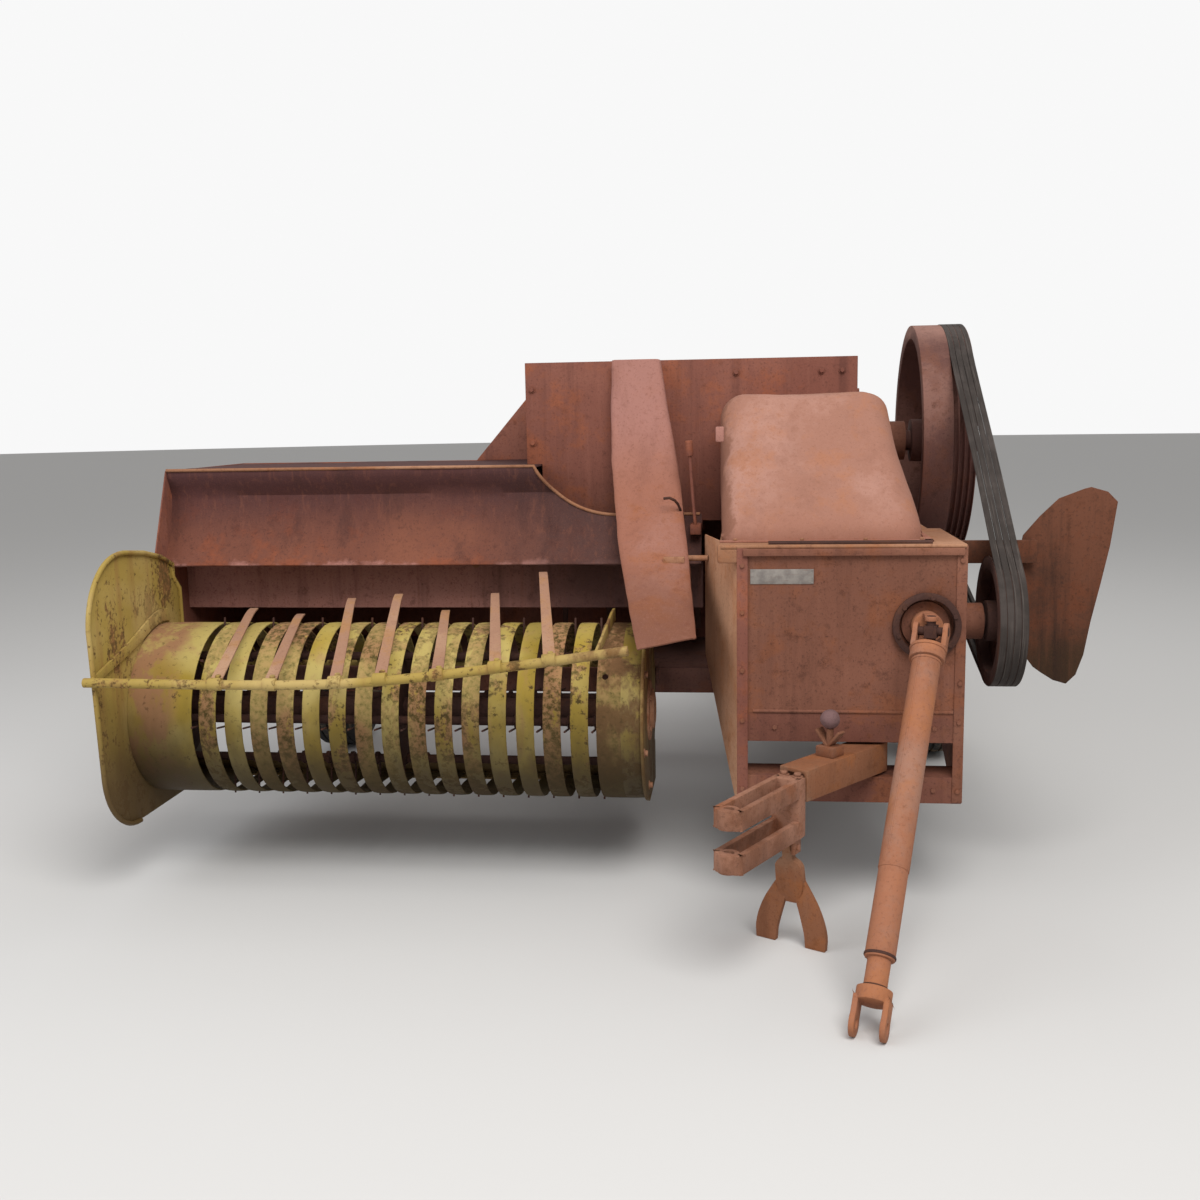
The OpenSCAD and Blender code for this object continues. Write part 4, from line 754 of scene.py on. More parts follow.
def make_crank_cover(dents):
    """Pressed shell over the crank: sloping front, rounded corners, open below and behind."""
    low_z, high_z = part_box("crank_cover")[0].z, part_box("crank_cover")[1].z
    back = own(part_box("crank_cover")[1]).y
    radius, left = 0.070, -0.270
    # The face narrows upward, and the cover's right side leans out toward its foot
    right_foot, right_top, side_foot, side_in = 0.110, 0.048, 0.180, 0.062
    foot, top = Vector((0, 0.160, low_z)), Vector((0, 0.420, high_z - radius))
    slope = math.atan2(top.y - foot.y, top.z - foot.z)
    # Middle of the rounding and the way it faces, from the foot over the top to the back
    rows = [(foot, slope * k / 8) for k in range(8)]
    rows += [(foot.lerp(top, k / 16), slope) for k in range(16)]
    rows += [(top, slope + (math.pi / 2 - slope) * k / 8) for k in range(8)]
    rows += [(top + Vector((0, (back - top.y) * k / 10, 0)), math.pi / 2) for k in range(11)]
    turns = [-math.pi / 2 + math.pi / 2 * k / 10 for k in range(11)]
    sections = []
    for middle, lift in rows:
        share = (middle.z - foot.z) / (top.z - foot.z)
        right = right_foot + (right_top - right_foot) * share
        points = [
            (left - radius, middle.y, low_z + (middle.z - low_z) * k / 9) for k in range(9)
        ]
        for turn in turns:
            reach = radius * math.cos(turn)
            points.append((
                left + radius * math.sin(turn), middle.y - reach * math.cos(lift),
                middle.z + reach * math.sin(lift),
            ))
        flat = points[-1]
        points += [(left + (right - left) * k / 18, flat[1], flat[2]) for k in range(1, 18)]
        for turn in reversed(turns):
            reach = radius * math.cos(turn)
            points.append((
                right - radius * math.sin(turn), middle.y - reach * math.cos(lift),
                middle.z + reach * math.sin(lift),
            ))
        points += [
            (side_foot - side_in * share * k / 9, middle.y, low_z + (middle.z - low_z) * k / 9)
            for k in range(8, -1, -1)
        ]
        sections.append([spot(*point) for point in points])
    cover = loft("crank_cover_shell", sections)
    start_editing(cover)
    bpy.ops.mesh.remove_doubles(threshold=0.0005)
    bpy.ops.mesh.normals_make_consistent(inside=False)
    stop_editing()
    if sum(face.normal.z * face.area for face in cover.data.polygons) < 0:
        flip(cover)
    dent(cover, dents * 0.8, 0.22, 4.0)
    dent(cover, dents * 0.2, 0.07, 1.0)
    sheet(cover, 0.004)
    dress(cover, FINISHES["cover"], "chassis", "rust_pale", "crank_cover")
    flange = []
    for x0, x1, y0, y1 in ((-0.340, 0.2, 0.066, 0.094), (0.176, 0.2, 0.066, back)):
        flange.append(block("flange", spot(x0, y0, low_z), spot(x1, y1, low_z + 0.005), 0.0015))
    flange.append(block("lug", spot(-0.352, 0.196, 1.205), spot(-0.330, 0.226, 1.245), 0.003))
    rim = together("crank_cover_flange", flange)
    dress(rim, FINISHES["band"], "chassis", "rust_pale")
    heads = [(spot(x, 0.076, low_z + 0.005), (0, 0, 1)) for x in (-0.30, -0.13, 0.03, 0.17)]
    bolts = hex_bolts("crank_cover_bolts", heads, 0.010, 0.005, washer=False)
    dress(bolts, FINISHES["tan"], "chassis", "rust_pale")


# Face of the drive cover: y and z down it, and how far its flanges reach
COVER_LINE = (
    (0.602, 1.442, 1.0), (0.592, 1.340, 1.0), (0.572, 1.230, 1.0), (0.540, 1.140, 1.0),
    (0.492, 1.062, 1.0), (0.416, 0.975, 1.0), (0.322, 0.895, 1.0), (0.210, 0.820, 0.9),
    (0.085, 0.758, 0.6), (-0.060, 0.691, 0.6),
)
# Height, and x of the two side edges of the drive cover's face there
COVER_EDGES = (
    (1.460, -0.667, -0.526), (1.288, -0.670, -0.500), (1.131, -0.666, -0.472),
    (1.030, -0.652, -0.453), (0.905, -0.627, -0.436), (0.825, -0.602, -0.422),
    (0.725, -0.562, -0.400), (0.640, -0.526, -0.384),
)


def table_value(table, key, column):
    """Value of a column at a key, in a table whose first column falls or rises steadily."""
    for a, b in zip(table, table[1:]):
        if min(a[0], b[0]) <= key <= max(a[0], b[0]):
            return a[column] + (b[column] - a[column]) * (key - a[0]) / (b[0] - a[0])
    return (table[0] if abs(key - table[0][0]) < abs(key - table[-1][0]) else table[-1])[column]


def make_drive_cover(dents):
    """Curved channel in front of the tall housing, its lower end open and cut askew."""
    behind = 0.6395
    line = smooth_line([(0, y, z) for y, z, share in COVER_LINE], 240)
    shares = [(z, share) for y, z, share in COVER_LINE]
    wide = [(0.0, 1.0), (0.0, 0.6), (0.0, 0.12), (0.02, 0.05), (0.07, 0.0)]
    columns = wide + [(0.07 + 0.86 * k / 10, 0.0) for k in range(1, 10)]
    columns += [(1 - across, deep) for across, deep in reversed(wide)]
    rows = 72
    # Height of the askew cut at one x, and how much it rises along x
    cut_x, cut_z, cut_rise = -0.8, 0.658, 0.146
    sections = [[] for row in range(rows)]
    for across, deep in columns:
        # The cut's height and the place of the edges there depend on each other
        foot = 0.70
        for again in range(6):
            left, right = table_value(COVER_EDGES, foot, 1), table_value(COVER_EDGES, foot, 2)
            foot = cut_z + (left + (right - left) * across - cut_x) * cut_rise
        last = min(range(len(line)), key=lambda i: abs(line[i].z - foot))
        for row in range(rows):
            at = last * row / (rows - 1)
            low = min(int(at), len(line) - 2)
            p = line[low].lerp(line[low + 1], at - low)
            left, right = table_value(COVER_EDGES, p.z, 1), table_value(COVER_EDGES, p.z, 2)
            reach = 0.070 * deep * table_value(shares, p.z, 1)
            bow = 0.004 * math.sin(math.pi * across)
            sections[row].append(spot(
                left + (right - left) * across, min(p.y + reach - bow, behind), p.z - 0.3 * reach,
            ))
    cover = loft("drive_cover_shell", sections)
    if sum(face.normal.y * face.area for face in cover.data.polygons) > 0:
        flip(cover)
    dent(cover, dents * 0.5, 0.24, 7.0)
    dent(cover, dents * 0.18, 0.05, 2.0)
    sheet(cover, 0.004)
    dress(cover, FINISHES["band"], "chassis", "rust_pale", "drive_cover")
    stay_end = own(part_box("drive_cover")[1]).x
    stay = [
        rod("stay", spot(-0.455, 0.340, 0.880), spot(stay_end, 0.340, 0.880), 0.008),
        block("strap", spot(-0.500, 0.284, 0.872), spot(-0.441, 0.302, 0.889), 0.002),
    ]
    dress(together("drive_cover_stay", stay), FINISHES["tan"], "chassis", "rust_pale")
    # Small lever with a knob and a hook between the cover and the crank's cover
    lever = pipe("lever", [
        spot(-0.416, 0.450, 0.960), spot(-0.424, 0.450, 1.060), spot(-0.431, 0.450, 1.165),
    ], 0.005, 12)
    knob = rod("knob", spot(-0.431, 0.450, 1.160), spot(-0.434, 0.450, 1.205), 0.011, 24, 0.004)
    foot = block("foot", spot(-0.432, 0.446, 0.935), spot(-0.400, 0.640, 0.965), 0.003)
    dress(together("lever", [lever, knob, foot]), FINISHES["housing"], "chassis", "rust_red")
    hook = pipe("hook", smooth_line([
        spot(-0.505, 0.420, 1.042), spot(-0.488, 0.415, 1.044), spot(-0.468, 0.430, 1.030),
        spot(-0.456, 0.470, 0.996), spot(-0.450, 0.636, 0.960),
    ], 16), 0.004, 12)
    dress(hook, FINISHES["dark"], "chassis", "rust_dark")


# Side view of the hood's top, (y, z), from its rear edge over the front fold
HOOD_LINE = (
    (1.101, 1.135), (0.510, 1.135), (0.502, 1.1345), (0.500, 1.130), (0.500, 1.113),
)


def hood_profile():
    """Side view of the hood from the top's rear edge to the lower panel's foot."""
    line = [Vector((0, y, z)) for y, z in HOOD_LINE]
    centre, radius = Vector((0, 0.080, 1.120)), 0.452
    for k in range(15):
        angle = math.radians(-8 - 28 * k / 14)
        line.append(centre + radius * Vector((0, math.cos(angle), math.sin(angle))))
    for y, z in (
        (0.452, 0.8495), (0.540, 0.848), (0.594, 0.848), (0.5985, 0.8465), (0.600, 0.842),
        (0.600, 0.760), (0.600, 0.700),
    ):
        line.append(Vector((0, y, z)))
    return line


def hood_front(z):
    """Distance behind the front plate of the hood's hollow face at height z."""
    line = hood_profile()[4:19]
    for a, b in zip(line, line[1:]):
        if b.z <= z <= a.z:
            return a.y + (b.y - a.y) * (a.z - z) / (a.z - b.z)
    return line[0].y


def make_hood(dents):
    """Long sheet hood over the feeder, with the rounded cut beside the tall housing."""
    left, right = -2.025, -0.400
    cut_x, cut_z, cut_r = -0.650, 0.990, 0.275
    columns = 66
    profile = hood_profile()
    dense = []
    for a, b in zip(profile, profile[1:]):
        parts = max(1, round((b - a).length / 0.03))
        dense += [a.lerp(b, k / parts) for k in range(parts)]
    dense.append(profile[-1])
    sections = [
        [spot(left + (right - left) * k / (columns - 1), p.y, p.z) for k in range(columns)] for p in dense
    ]
    hood = loft("feeder_hood_sheet", sections)
    if hood.data.polygons[len(hood.data.polygons) // 2].normal.y > 0:
        flip(hood)
    dent(hood, dents, 0.35, 3.0)
    dent(hood, dents * 0.4, 0.09, 8.0)
    modify(hood, "SOLIDIFY", thickness=0.005, offset=-1)
    cutter = rod("cutter", spot(cut_x, 0.2, cut_z + cut_r), spot(cut_x, 1.4, cut_z + cut_r), cut_r, 96)
    side = block("side", spot(cut_x, 0.2, cut_z), spot(0.1, 1.4, 1.4), edge=0)
    for tool in (cutter, side):
        modify(hood, "BOOLEAN", object=tool, operation="DIFFERENCE", solver="EXACT")
        bpy.data.objects.remove(tool)
    soften(hood, 35)
    dress(hood, FINISHES["hood"], "chassis", "rust_red", "feeder_hood")
    # Folded lips along the top edge and the cut
    start = math.degrees(math.acos((cut_z + cut_r - 1.135) / cut_r))
    top_end = cut_x - cut_r * math.sin(math.radians(start))
    edge = [spot(x, 0.4995, 1.136) for x in (left, -1.6, -1.2, top_end)]
    for k in range(1, 21):
        angle = math.radians(start * (1 - k / 20))
        z = cut_z + cut_r - cut_r * math.cos(angle)
        edge.append(spot(cut_x - cut_r * math.sin(angle), hood_front(z) - 0.001, z))
    edge.append(spot(-0.405, hood_front(cut_z) - 0.001, cut_z))
    lip = pipe("feeder_hood_lip", edge, 0.005, 12)
    dress(lip, FINISHES["tan"], "chassis", "rust_red")
    ledge = pipe("feeder_hood_ledge", [spot(left, 0.4465, 0.853), spot(right, 0.4465, 0.853)], 0.004, 12)
    dress(ledge, FINISHES["hood"], "chassis", "rust_red")
    # Two bolts on the lower panel
    heads = [(spot(x, 0.600, 0.836), (0, -1, 0)) for x in (-1.640, -1.095)]
    dress(hex_bolts("feeder_hood_bolts", heads, 0.015), FINISHES["tan"], "chassis", "rust_red")


# Front box


def make_front_trims(bolt_across):
    """Blank label plate, corner strips, bolts, the deck's rolled edge and the front plate's fold."""
    plate = block("label_plate", spot(-0.262, -0.0022, 0.852), spot(-0.104, 0.0, 0.890), 0.0008)
    rivets = [
        rod("rivet", spot(x, -0.0032, z), spot(x, 0, z), 0.0022, 12)
        for x in (-0.258, -0.108) for z in (0.856, 0.886)
    ]
    plate = together("label_plate", [plate] + rivets)
    dress(plate, FINISHES["label"], "chassis", "rust_red")
    # Corner strip of the box on the pickup side and angle along the other corner
    strip = block("strip", spot(-0.296, -0.006, 0.290), spot(-0.268, 0.0, 0.948), 0.002)
    dress(strip, FINISHES["housing"], "chassis", "rust_red")
    strip.name = "front_corner_strip"
    angle = block("angle", spot(0.246, -0.004, 0.290), spot(0.272, 0.0, 0.948), 0.002)
    dress(angle, FINISHES["front"], "chassis", "rust_red")
    angle.name = "front_corner_angle"
    heads = [(spot(-0.282, -0.006, z), (0, -1, 0)) for z in (0.90, 0.78, 0.63, 0.50, 0.32)]
    heads += [(spot(0.259, -0.004, z), (0, -1, 0)) for z in (0.91, 0.60, 0.50, 0.32)]
    heads += [(spot(x, 0, z), (0, -1, 0)) for z in (0.482, 0.321) for x in (-0.2, 0.2)]
    bolts = hex_bolts("front_box_bolts", heads, bolt_across, 0.005, washer=False)
    dress(bolts, FINISHES["front"], "chassis", "rust_red")
    # Rolled front edge of the deck, the dark double strip on it and the lug at its end
    lip = pipe("deck_lip", [spot(-0.335, -0.001, 0.946), spot(0.268, -0.001, 0.946)], 0.006, 12)
    corner = block("corner", spot(-0.345, -0.004, 0.905), spot(-0.288, 0.012, 0.952), 0.006)
    dress(together("deck_front_lip", [lip, corner]), FINISHES["tan"], "chassis", "rust_red")
    strips = [
        block("strip", spot(-0.216, y, 0.950), spot(0.190, y + 0.010, 0.956), 0.0015)
        for y in (0.020, 0.046)
    ]
    dress(together("deck_strips", strips), FINISHES["dark"], "chassis", "rust_dark")
    fold = pipe("fold", [spot(-0.255, 0.001, 0.524), spot(0.245, 0.001, 0.524)], 0.005, 12)
    dress(fold, FINISHES["front"], "chassis", "rust_red")
    # Bolts around the input shaft
    ring = []
    for k in range(6):
        x, z = on_circle(PIVOTS["shaft_yaw"].xz, 0.073, 20 + 60 * k)
        ring.append((spot(x, -0.0135, z), (0, -1, 0)))
    bolts = hex_bolts("input_ring_bolts", ring, 0.011, 0.005, washer=False)
    dress(bolts, FINISHES["dark"], "chassis", "rust_dark")


# Belts and tyres


# Points of a belt around the low sheave, along each straight run and around the flywheel
LOW_POINTS, RUN_POINTS, HIGH_POINTS = 33, 7, 49


def belt_run(start, end):
    """Points between two ends of a straight run."""
    return [start.lerp(end, k / (RUN_POINTS + 1)) for k in range(1, RUN_POINTS + 1)]


def belt_loop(radius_low, radius_high):
    """Points around the sheave and the flywheel, in (y, z) from the machine's own planes."""
    low, high = PIVOTS["sheave_spin"].yz, PIVOTS["flywheel_spin"].yz
    way = high - low
    line = math.atan2(way.y, way.x)
    side = math.acos((radius_high - radius_low) / way.length)
    points = []
    for k in range(LOW_POINTS):
        a = line + math.pi - side + 2 * side * k / (LOW_POINTS - 1)
        points.append(low + radius_low * Vector((math.cos(a), math.sin(a))))
    turn = line + math.pi + side
    points += belt_run(points[-1], high + radius_high * Vector((math.cos(turn), math.sin(turn))))
    for k in range(HIGH_POINTS):
        a = line - math.pi + side + 2 * (math.pi - side) * k / (HIGH_POINTS - 1)
        points.append(high + radius_high * Vector((math.cos(a), math.sin(a))))
    points += belt_run(points[-1], points[0])
    return points


# Half width and depth, as a share of the whole depth, around a belt
BELT_SECTION = (
    (-0.0081, 0.0), (-0.0050, 1.0), (0.0050, 1.0), (0.0081, 0.0), (0.0070, -0.12),
    (-0.0070, -0.12), (-0.0081, 0.0),
)


def make_belts():
    """Four V-belts side by side, a little loose and uneven."""
    low_r, high_r = half_height("sheave"), half_height("flywheel")
    pitch, outer = 0.017, own(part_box("flywheel")[1]).x
    proud, depth, slack = 0.0005, 0.011, 0.0010
    top = belt_loop(low_r + proud, high_r + proud)
    foot = belt_loop(low_r - depth, high_r - depth)
    low_end = LOW_POINTS + RUN_POINTS
    belts = []
    for k in range(4):
        x = outer - pitch * (k + 0.5)
        rows = []
        for i in range(len(top) + 1):
            at = i % len(top)
            a, b = top[at], foot[at]
            straight = LOW_POINTS <= at < low_end or at >= low_end + HIGH_POINTS
            sway = slack * math.sin(i * 0.9) if straight else 0
            row = []
            for wide, share in BELT_SECTION:
                p = a.lerp(b, share)
                row.append(spot(x + wide + sway, p.x, p.y))
            rows.append(row)
        belts.append(loft("belt", rows, closed=True))
    dress(soften(together("belt_set", belts), 40), FINISHES["belt"], "chassis", "rubber_grey", "belts")


def make_tyre(node, name, body):
    """Ribbed implement tyre: round shoulders, four ribs and grooves between them."""
    low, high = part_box(node)
    outer, half = half_height(node), (high.x - low.x) / 2
    rim = outer - 0.150
    groove = 0.009
    ribs = [(-0.058, -0.034), (-0.028, -0.003), (0.003, 0.028), (0.034, 0.058)]
    profile = [
        (-0.053, rim - 0.012), (-0.0615, rim + 0.002), (-half + 0.010, rim + 0.030),
        (-half + 0.002, rim + 0.060), (-half, rim + 0.080), (-half + 0.004, outer - 0.040),
        (-half + 0.012, outer - 0.018), (-0.062, outer - 0.007),
    ]
    for a, b in ribs:
        crown = outer - 1.5 * ((a + b) / 2) ** 2
        profile += [(a, crown - groove), (a + 0.001, crown), (b - 0.001, crown), (b, crown - groove)]
    profile += [(-x, r) for x, r in reversed(profile[:8])]
    tyre = spun(name, profile + profile[:1], (low + high) / 2, ABOUT_X, 96)
    round_edges(tyre, 0.0015, segments=1, angle=50, clamp=True, smooth=40)
    dress(tyre, FINISHES["tyre"], body, "tyre_black", node)


def make_wheel_nuts(name, x, out, body):
    """Wheel nuts and the valve on the outer side of a wheel."""
    y, z = PIVOTS["wheel_spin_belt_side"].yz
    heads = [(spot(x, *on_circle((y, z), 0.080, 60 * k)), (out, 0, 0)) for k in range(6)]
    nuts = hex_bolts(name, heads, 0.024, 0.014)
    valve = rod("valve", spot(x, y + 0.165, z), spot(x + out * 0.03, y + 0.158, z), 0.004, 10)
    dress(together(name, [nuts, valve]), FINISHES["rim"], body, "yellow_worn")


# Pickup


# Middle of the reel in (y, z), and how far from it the bars and the outside of the bands are
REEL = PIVOTS["reel_spin"].yz
BAR_R = 0.150
BAND_R = 0.245
# Height of the bands' lower ends
BAND_LOW = 0.206
# x of the far end panel's inner side and of the near panel's outer side
FAR, NEAR = -1.960, -0.542


def band_line(bulge):
    """Side view of a stripper band in (y, z), from the lower angle round the front to the floor."""
    points = [(0.470, BAND_LOW), (0.400, 0.2095), (0.335, REEL[1] - BAND_R)]
    for k in range(25):
        radius = BAND_R + bulge * math.sin(math.pi * k / 24) ** 2
        points.append(on_circle(REEL, radius, 270 - 210 * k / 24))
    points += [(0.420, 0.655), (0.446, 0.640), (0.490, 0.593), (0.534, 0.544)]
    return points


def one_band(x0, x1, bulge, skew, columns=5):
    """Strip of sheet from x0 to x1 with slightly turned-in edges, a bit bent and askew."""
    line = band_line(bulge)
    rows = []
    for i, (y, z) in enumerate(line):
        share = i / (len(line) - 1)
        away = Vector((0, y - REEL[0], z - REEL[1])).normalized()
        row = []
        for k in range(columns):
            part = k / (columns - 1)
            tuck = 0.0012 * (abs(2 * part - 1) ** 3)
            x = x0 + (x1 - x0) * part + skew * math.sin(math.pi * share)
            row.append(spot(x, y, z) - away * tuck)
        rows.append(row)
    return loft("band", rows)


# Round hole in the wide band at the belt side: x, and degrees around the reel
HOLE_X, HOLE_TURN = -0.642, 146


def make_bands():
    """Narrow bands, each bent a little differently, between two wide ones."""
    half, far_end, near_start = 0.024, -1.776, -0.664
    places = [BAND_FIRST + i * BAND_PITCH for i in range(BAND_COUNT)]
    pieces = []
    for i, x in enumerate(places):
        bulge = 0.0025 * noise.noise(Vector((i * 1.7, 0, 0)))
        skew = 0.003 * noise.noise(Vector((0, i * 1.3, 4)))
        pieces.append(one_band(x - half, x + half, bulge, skew))
    pieces.append(one_band(FAR + 0.0005, far_end, 0, 0, 13))
    pieces.append(one_band(near_start, NEAR - 0.0065, 0, 0, 9))
    bands = together("stripper_band_set", pieces)
    middle = spot(0, *REEL)
    turned = sum(
        (face.center - middle).dot(face.normal) * face.area
        for face in bands.data.polygons if face.center.y < middle.y
    )
    if turned < 0:
        flip(bands)
    sheet(bands, 0.0038, 0.0008)
    # Hole through the wide band at the belt side
    turn = math.radians(HOLE_TURN)
    out = Vector((0, math.cos(turn), math.sin(turn)))
    at = spot(HOLE_X, *REEL) + out * BAND_R
    drill = rod("drill", at - out * 0.03, at + out * 0.03, 0.0085, 24)
    modify(bands, "BOOLEAN", object=drill, operation="DIFFERENCE", solver="EXACT")
    bpy.data.objects.remove(drill)
    # Rivets at the bands' ends
    heads = [(spot(x, 0.512, 0.5705), (0, 0.74, 0.67)) for x in places]
    rivets = hex_bolts("rivets", heads, 0.012, 0.004, washer=False)
    bands = together("stripper_band_set", [bands, rivets])
    dress(bands, FINISHES["bands"], "pickup", "yellow_worn", "stripper_bands")


def spring_tine():
    """Spring tine at the rear of the reel: a coil around the bar, then a straight prong."""
    out, side = Vector((0, 1, 0)), Vector((0, 0, 1))
    bar = spot(0, *REEL) + out * BAR_R
    coil_r, lead = 0.0165, 0.004
    coil = []
    for k in range(-9, 7):
        turn = math.radians(60 * k)
        turned = out * math.cos(turn) + side * math.sin(turn)
        coil.append(bar + Vector((lead * k / 6, 0, 0)) + turned * coil_r)
    prong = [bar + out * d + side * coil_r * (1 - d / 0.11) for d in (0.02, 0.06, 0.1115)]
    return pipe("tine", coil + prong, 0.003)


def make_reel():
    """Shaft, discs, bars and spring tines of the pickup's reel."""
    y, z = REEL
    pieces = [rod("shaft", spot(FAR - 0.006, y, z), spot(NEAR - 0.0001, y, z), 0.030, 32, 0.002)]
    for x in (FAR + 0.044, (FAR + NEAR) / 2 + 0.004, NEAR - 0.056):
        pieces.append(rod("disc", spot(x - 0.004, y, z), spot(x + 0.004, y, z), 0.166, 48, 0.001))
    first = spring_tine()
    home = spot(0, y, z)
    for k in range(4):
        turn = Matrix.Rotation(math.radians(90 * k), 4, "X")
        at = on_circle(REEL, BAR_R, 90 * k)
        pieces.append(rod("bar", spot(FAR + 0.020, *at), spot(NEAR - 0.030, *at), 0.012, 16))
        # A tine in each gap beside and between the bands
        for i in range(-1, BAND_COUNT):
            tine = copy_of(first, "tine")
            shift = spot(BAND_FIRST + (i + 0.5) * BAND_PITCH, y, z)
            tine.data.transform(Matrix.Translation(shift) @ turn @ Matrix.Translation(-home))
            pieces.append(tine)
    bpy.data.objects.remove(first)
    dress(together("tine_reel_set", pieces), FINISHES["dark"], "tine_reel", "rust_dark", "tine_reel")


# Fingers of the wind guard: x at the pipe, then x and height of the far end
FINGERS = (
    (-1.622, -1.690, 0.747), (-1.477, -1.550, 0.730), (-1.305, -1.396, 0.776), (-1.188, -1.257, 0.788),
    (-1.041, -1.122, 0.741), (-0.892, -0.978, 0.790), (-0.756, -0.839, 0.850),
)
# The guard's pipe: x and height of its bends, and how far before the front plate it runs
PIPE = ((-1.976, 0.617), (-1.400, 0.617), (-1.065, 0.640), (-0.560, 0.708))
PIPE_Y = -0.150


def pipe_height(x):
    """Height of the wind guard's pipe at x."""
    for (x0, z0), (x1, z1) in zip(PIPE, PIPE[1:]):
        if x <= x1:
            return z0 + (z1 - z0) * (x - x0) / (x1 - x0)
    return PIPE[-1][1]


def flat_bar(points, wide, thick, across):
    """Flat bar along points; across is the way of its width, or a list of them."""
    rows = []
    for i, point in enumerate(points):
        ahead, before = points[min(i + 1, len(points) - 1)], points[max(i - 1, 0)]
        run = (ahead - before).normalized()
        side = (across[i] if isinstance(across, list) else across).normalized()
        up = side.cross(run).normalized()
        w = (wide[i] if isinstance(wide, list) else wide) / 2
        t = thick / 2
        ring = [point + side * a + up * b for a, b in ((-w, -t), (w, -t), (w, t), (-w, t), (-w, -t))]
        rows.append(ring)
    piece = loft("flat", rows)
    start_editing(piece)
    bpy.ops.mesh.select_mode(type="VERT")
    bpy.ops.mesh.remove_doubles(threshold=MERGE / 2)
    # Each end is filled by itself
    for ring in (rows[0], rows[-1]):
        bpy.ops.mesh.select_all(action="DESELECT")
        stop_editing()
        for vertex in piece.data.vertices:
            vertex.select = min((vertex.co - corner).length for corner in ring) < MERGE
        bpy.ops.object.mode_set(mode="EDIT")
        bpy.ops.mesh.edge_face_add()
    stop_editing()
    return round_edges(outward(piece), min(0.0015, thick / 4))


def make_wind_guard():
    """Bent pipe over the pickup with its flat fingers, clamps and carrying arms."""
    line = smooth_line([spot(x, PIPE_Y, z) for x, z in PIPE], 60)
    # Without a seed, noise_vector follows the clock and the pipe's wave changes from run to run
    noise.seed_set(1)
    for p in line:
        wave = noise.noise_vector(Vector((p.x * 3, 0, 0)))
        p.y += 0.002 * wave.y
        p.z += 0.002 * wave.z
    guard = [pipe("pipe", line, 0.0125, 24)]
    for i, (x0, x1, z1) in enumerate(FINGERS):
        z0 = pipe_height(x0)
        start = spot(x0, PIPE_Y, z0 + 0.005)
        end = spot(x1, 0.300, z1 + 0.005)
        bend = 0.012 * noise.noise(Vector((i * 2.3, 1, 0)))
        points = []
        wide = []
        for k in range(15):
            share = k / 14
            p = start.lerp(end, share)
            # A slight bow, and the tip turned down
            p.z += bend * math.sin(math.pi * share) - 0.010 * max(0, share - 0.9) * 10
            points.append(p)
            wide.append(0.031 - 0.007 * share)
        across = Vector((math.cos(0.15), math.sin(0.15), 0))
        finger = flat_bar(points, wide, 0.0055, across)
        dress(finger, FINISHES["fingers"], "pickup", "yellow_worn")
        finger.name = "guard_finger_%d" % (i + 1)
        ends = spot(x0 - 0.017, PIPE_Y, z0), spot(x0 + 0.017, PIPE_Y, pipe_height(x0 + 0.034))
        guard.append(rod("clamp", *ends, 0.0165, 20, 0.002))
        guard.append(hex_bolts("bolt", [(spot(x0, PIPE_Y + 0.022, z0 + 0.0095), (0, -0.2, 1))], 0.013))
    seat = REEL[1] + BAND_R
    for x in (FAR + 0.0043, NEAR - 0.098):
        z = pipe_height(x)
        knee = (z + seat + 0.020) / 2
        arm = smooth_line([
            spot(x, PIPE_Y, z), spot(x, 0.060, knee), spot(x, 0.225, seat + 0.020),
            spot(x, 0.308, seat + 0.020),
        ], 20)
        wide = [0.022 + 0.018 * k / 19 for k in range(20)]
        guard.append(flat_bar(arm, wide, 0.007, [Vector((0, -0.35, 1))] * 20))
    dress(together("wind_guard_pipe", guard), FINISHES["yellow"], "pickup", "yellow_worn", "wind_guard")


def make_pickup_trims():
    """Pale raised rims of the end panels, bearing boss and bolts."""
    rim = [
        (0.400, 0.562), (0.394, 0.791), (0.357, 0.829), (0.357, 0.867), (0.288, 0.896),
        (0.187, 0.919), (0.067, 0.932),
    ]
    rim += [on_circle((0.050, 0.740), 0.192, a) for a in range(93, 181, 6)]
    rim.append((-0.120, 0.360))
    rim += [on_circle((0.060, 0.360), 0.180, a) for a in range(186, 271, 7)]
    edge = pipe("edge", [spot(FAR + 0.002, y, z) for y, z in rim], 0.007, 12)
    ring = [on_circle(REEL, BAND_R + 0.003, a) for a in range(60, 271, 6)]
    near_edge = pipe("edge", [spot(NEAR - 0.001, y, z) for y, z in ring], 0.0045, 12)
    dress(together("pickup_panel_rims", [edge, near_edge]), FINISHES["yellow"], "pickup", "yellow_worn")
    heads = [
        (spot(NEAR, *on_circle(REEL, radius, a)), (1, 0, 0))
        for radius, turns in ((0.062, (45, 135, 225, 315)), (0.21, (80, 140, 200, 260)))
        for a in turns
    ]
    bolts = hex_bolts("bolts", heads, 0.015)
    profile = (
        (0.0, 0.085), (0.005, 0.083), (0.006, 0.055), (0.016, 0.050), (0.018, 0.034),
        (0.003, 0.032), (0.0, 0.085),
    )
    boss = spun("boss", profile, spot(NEAR, *REEL), ABOUT_X)
    dress(together("pickup_bearing", [bolts, soften(boss)]), FINISHES["tan"], "pickup", "yellow_worn")


# Hitch and drive shaft


# The drawbar, swung about its pin, and the hitch, turned a little against the drawbar
PIN = PIVOTS["drawbar_swing"]
SWUNG = Matrix.Translation(spot(PIN.x, PIN.y, 0)) @ Matrix.Rotation(math.radians(-38), 4, "Z")
HITCH = SWUNG @ Matrix.Translation((0, -0.3423, 0)) @ Matrix.Rotation(math.radians(9), 4, "Z")
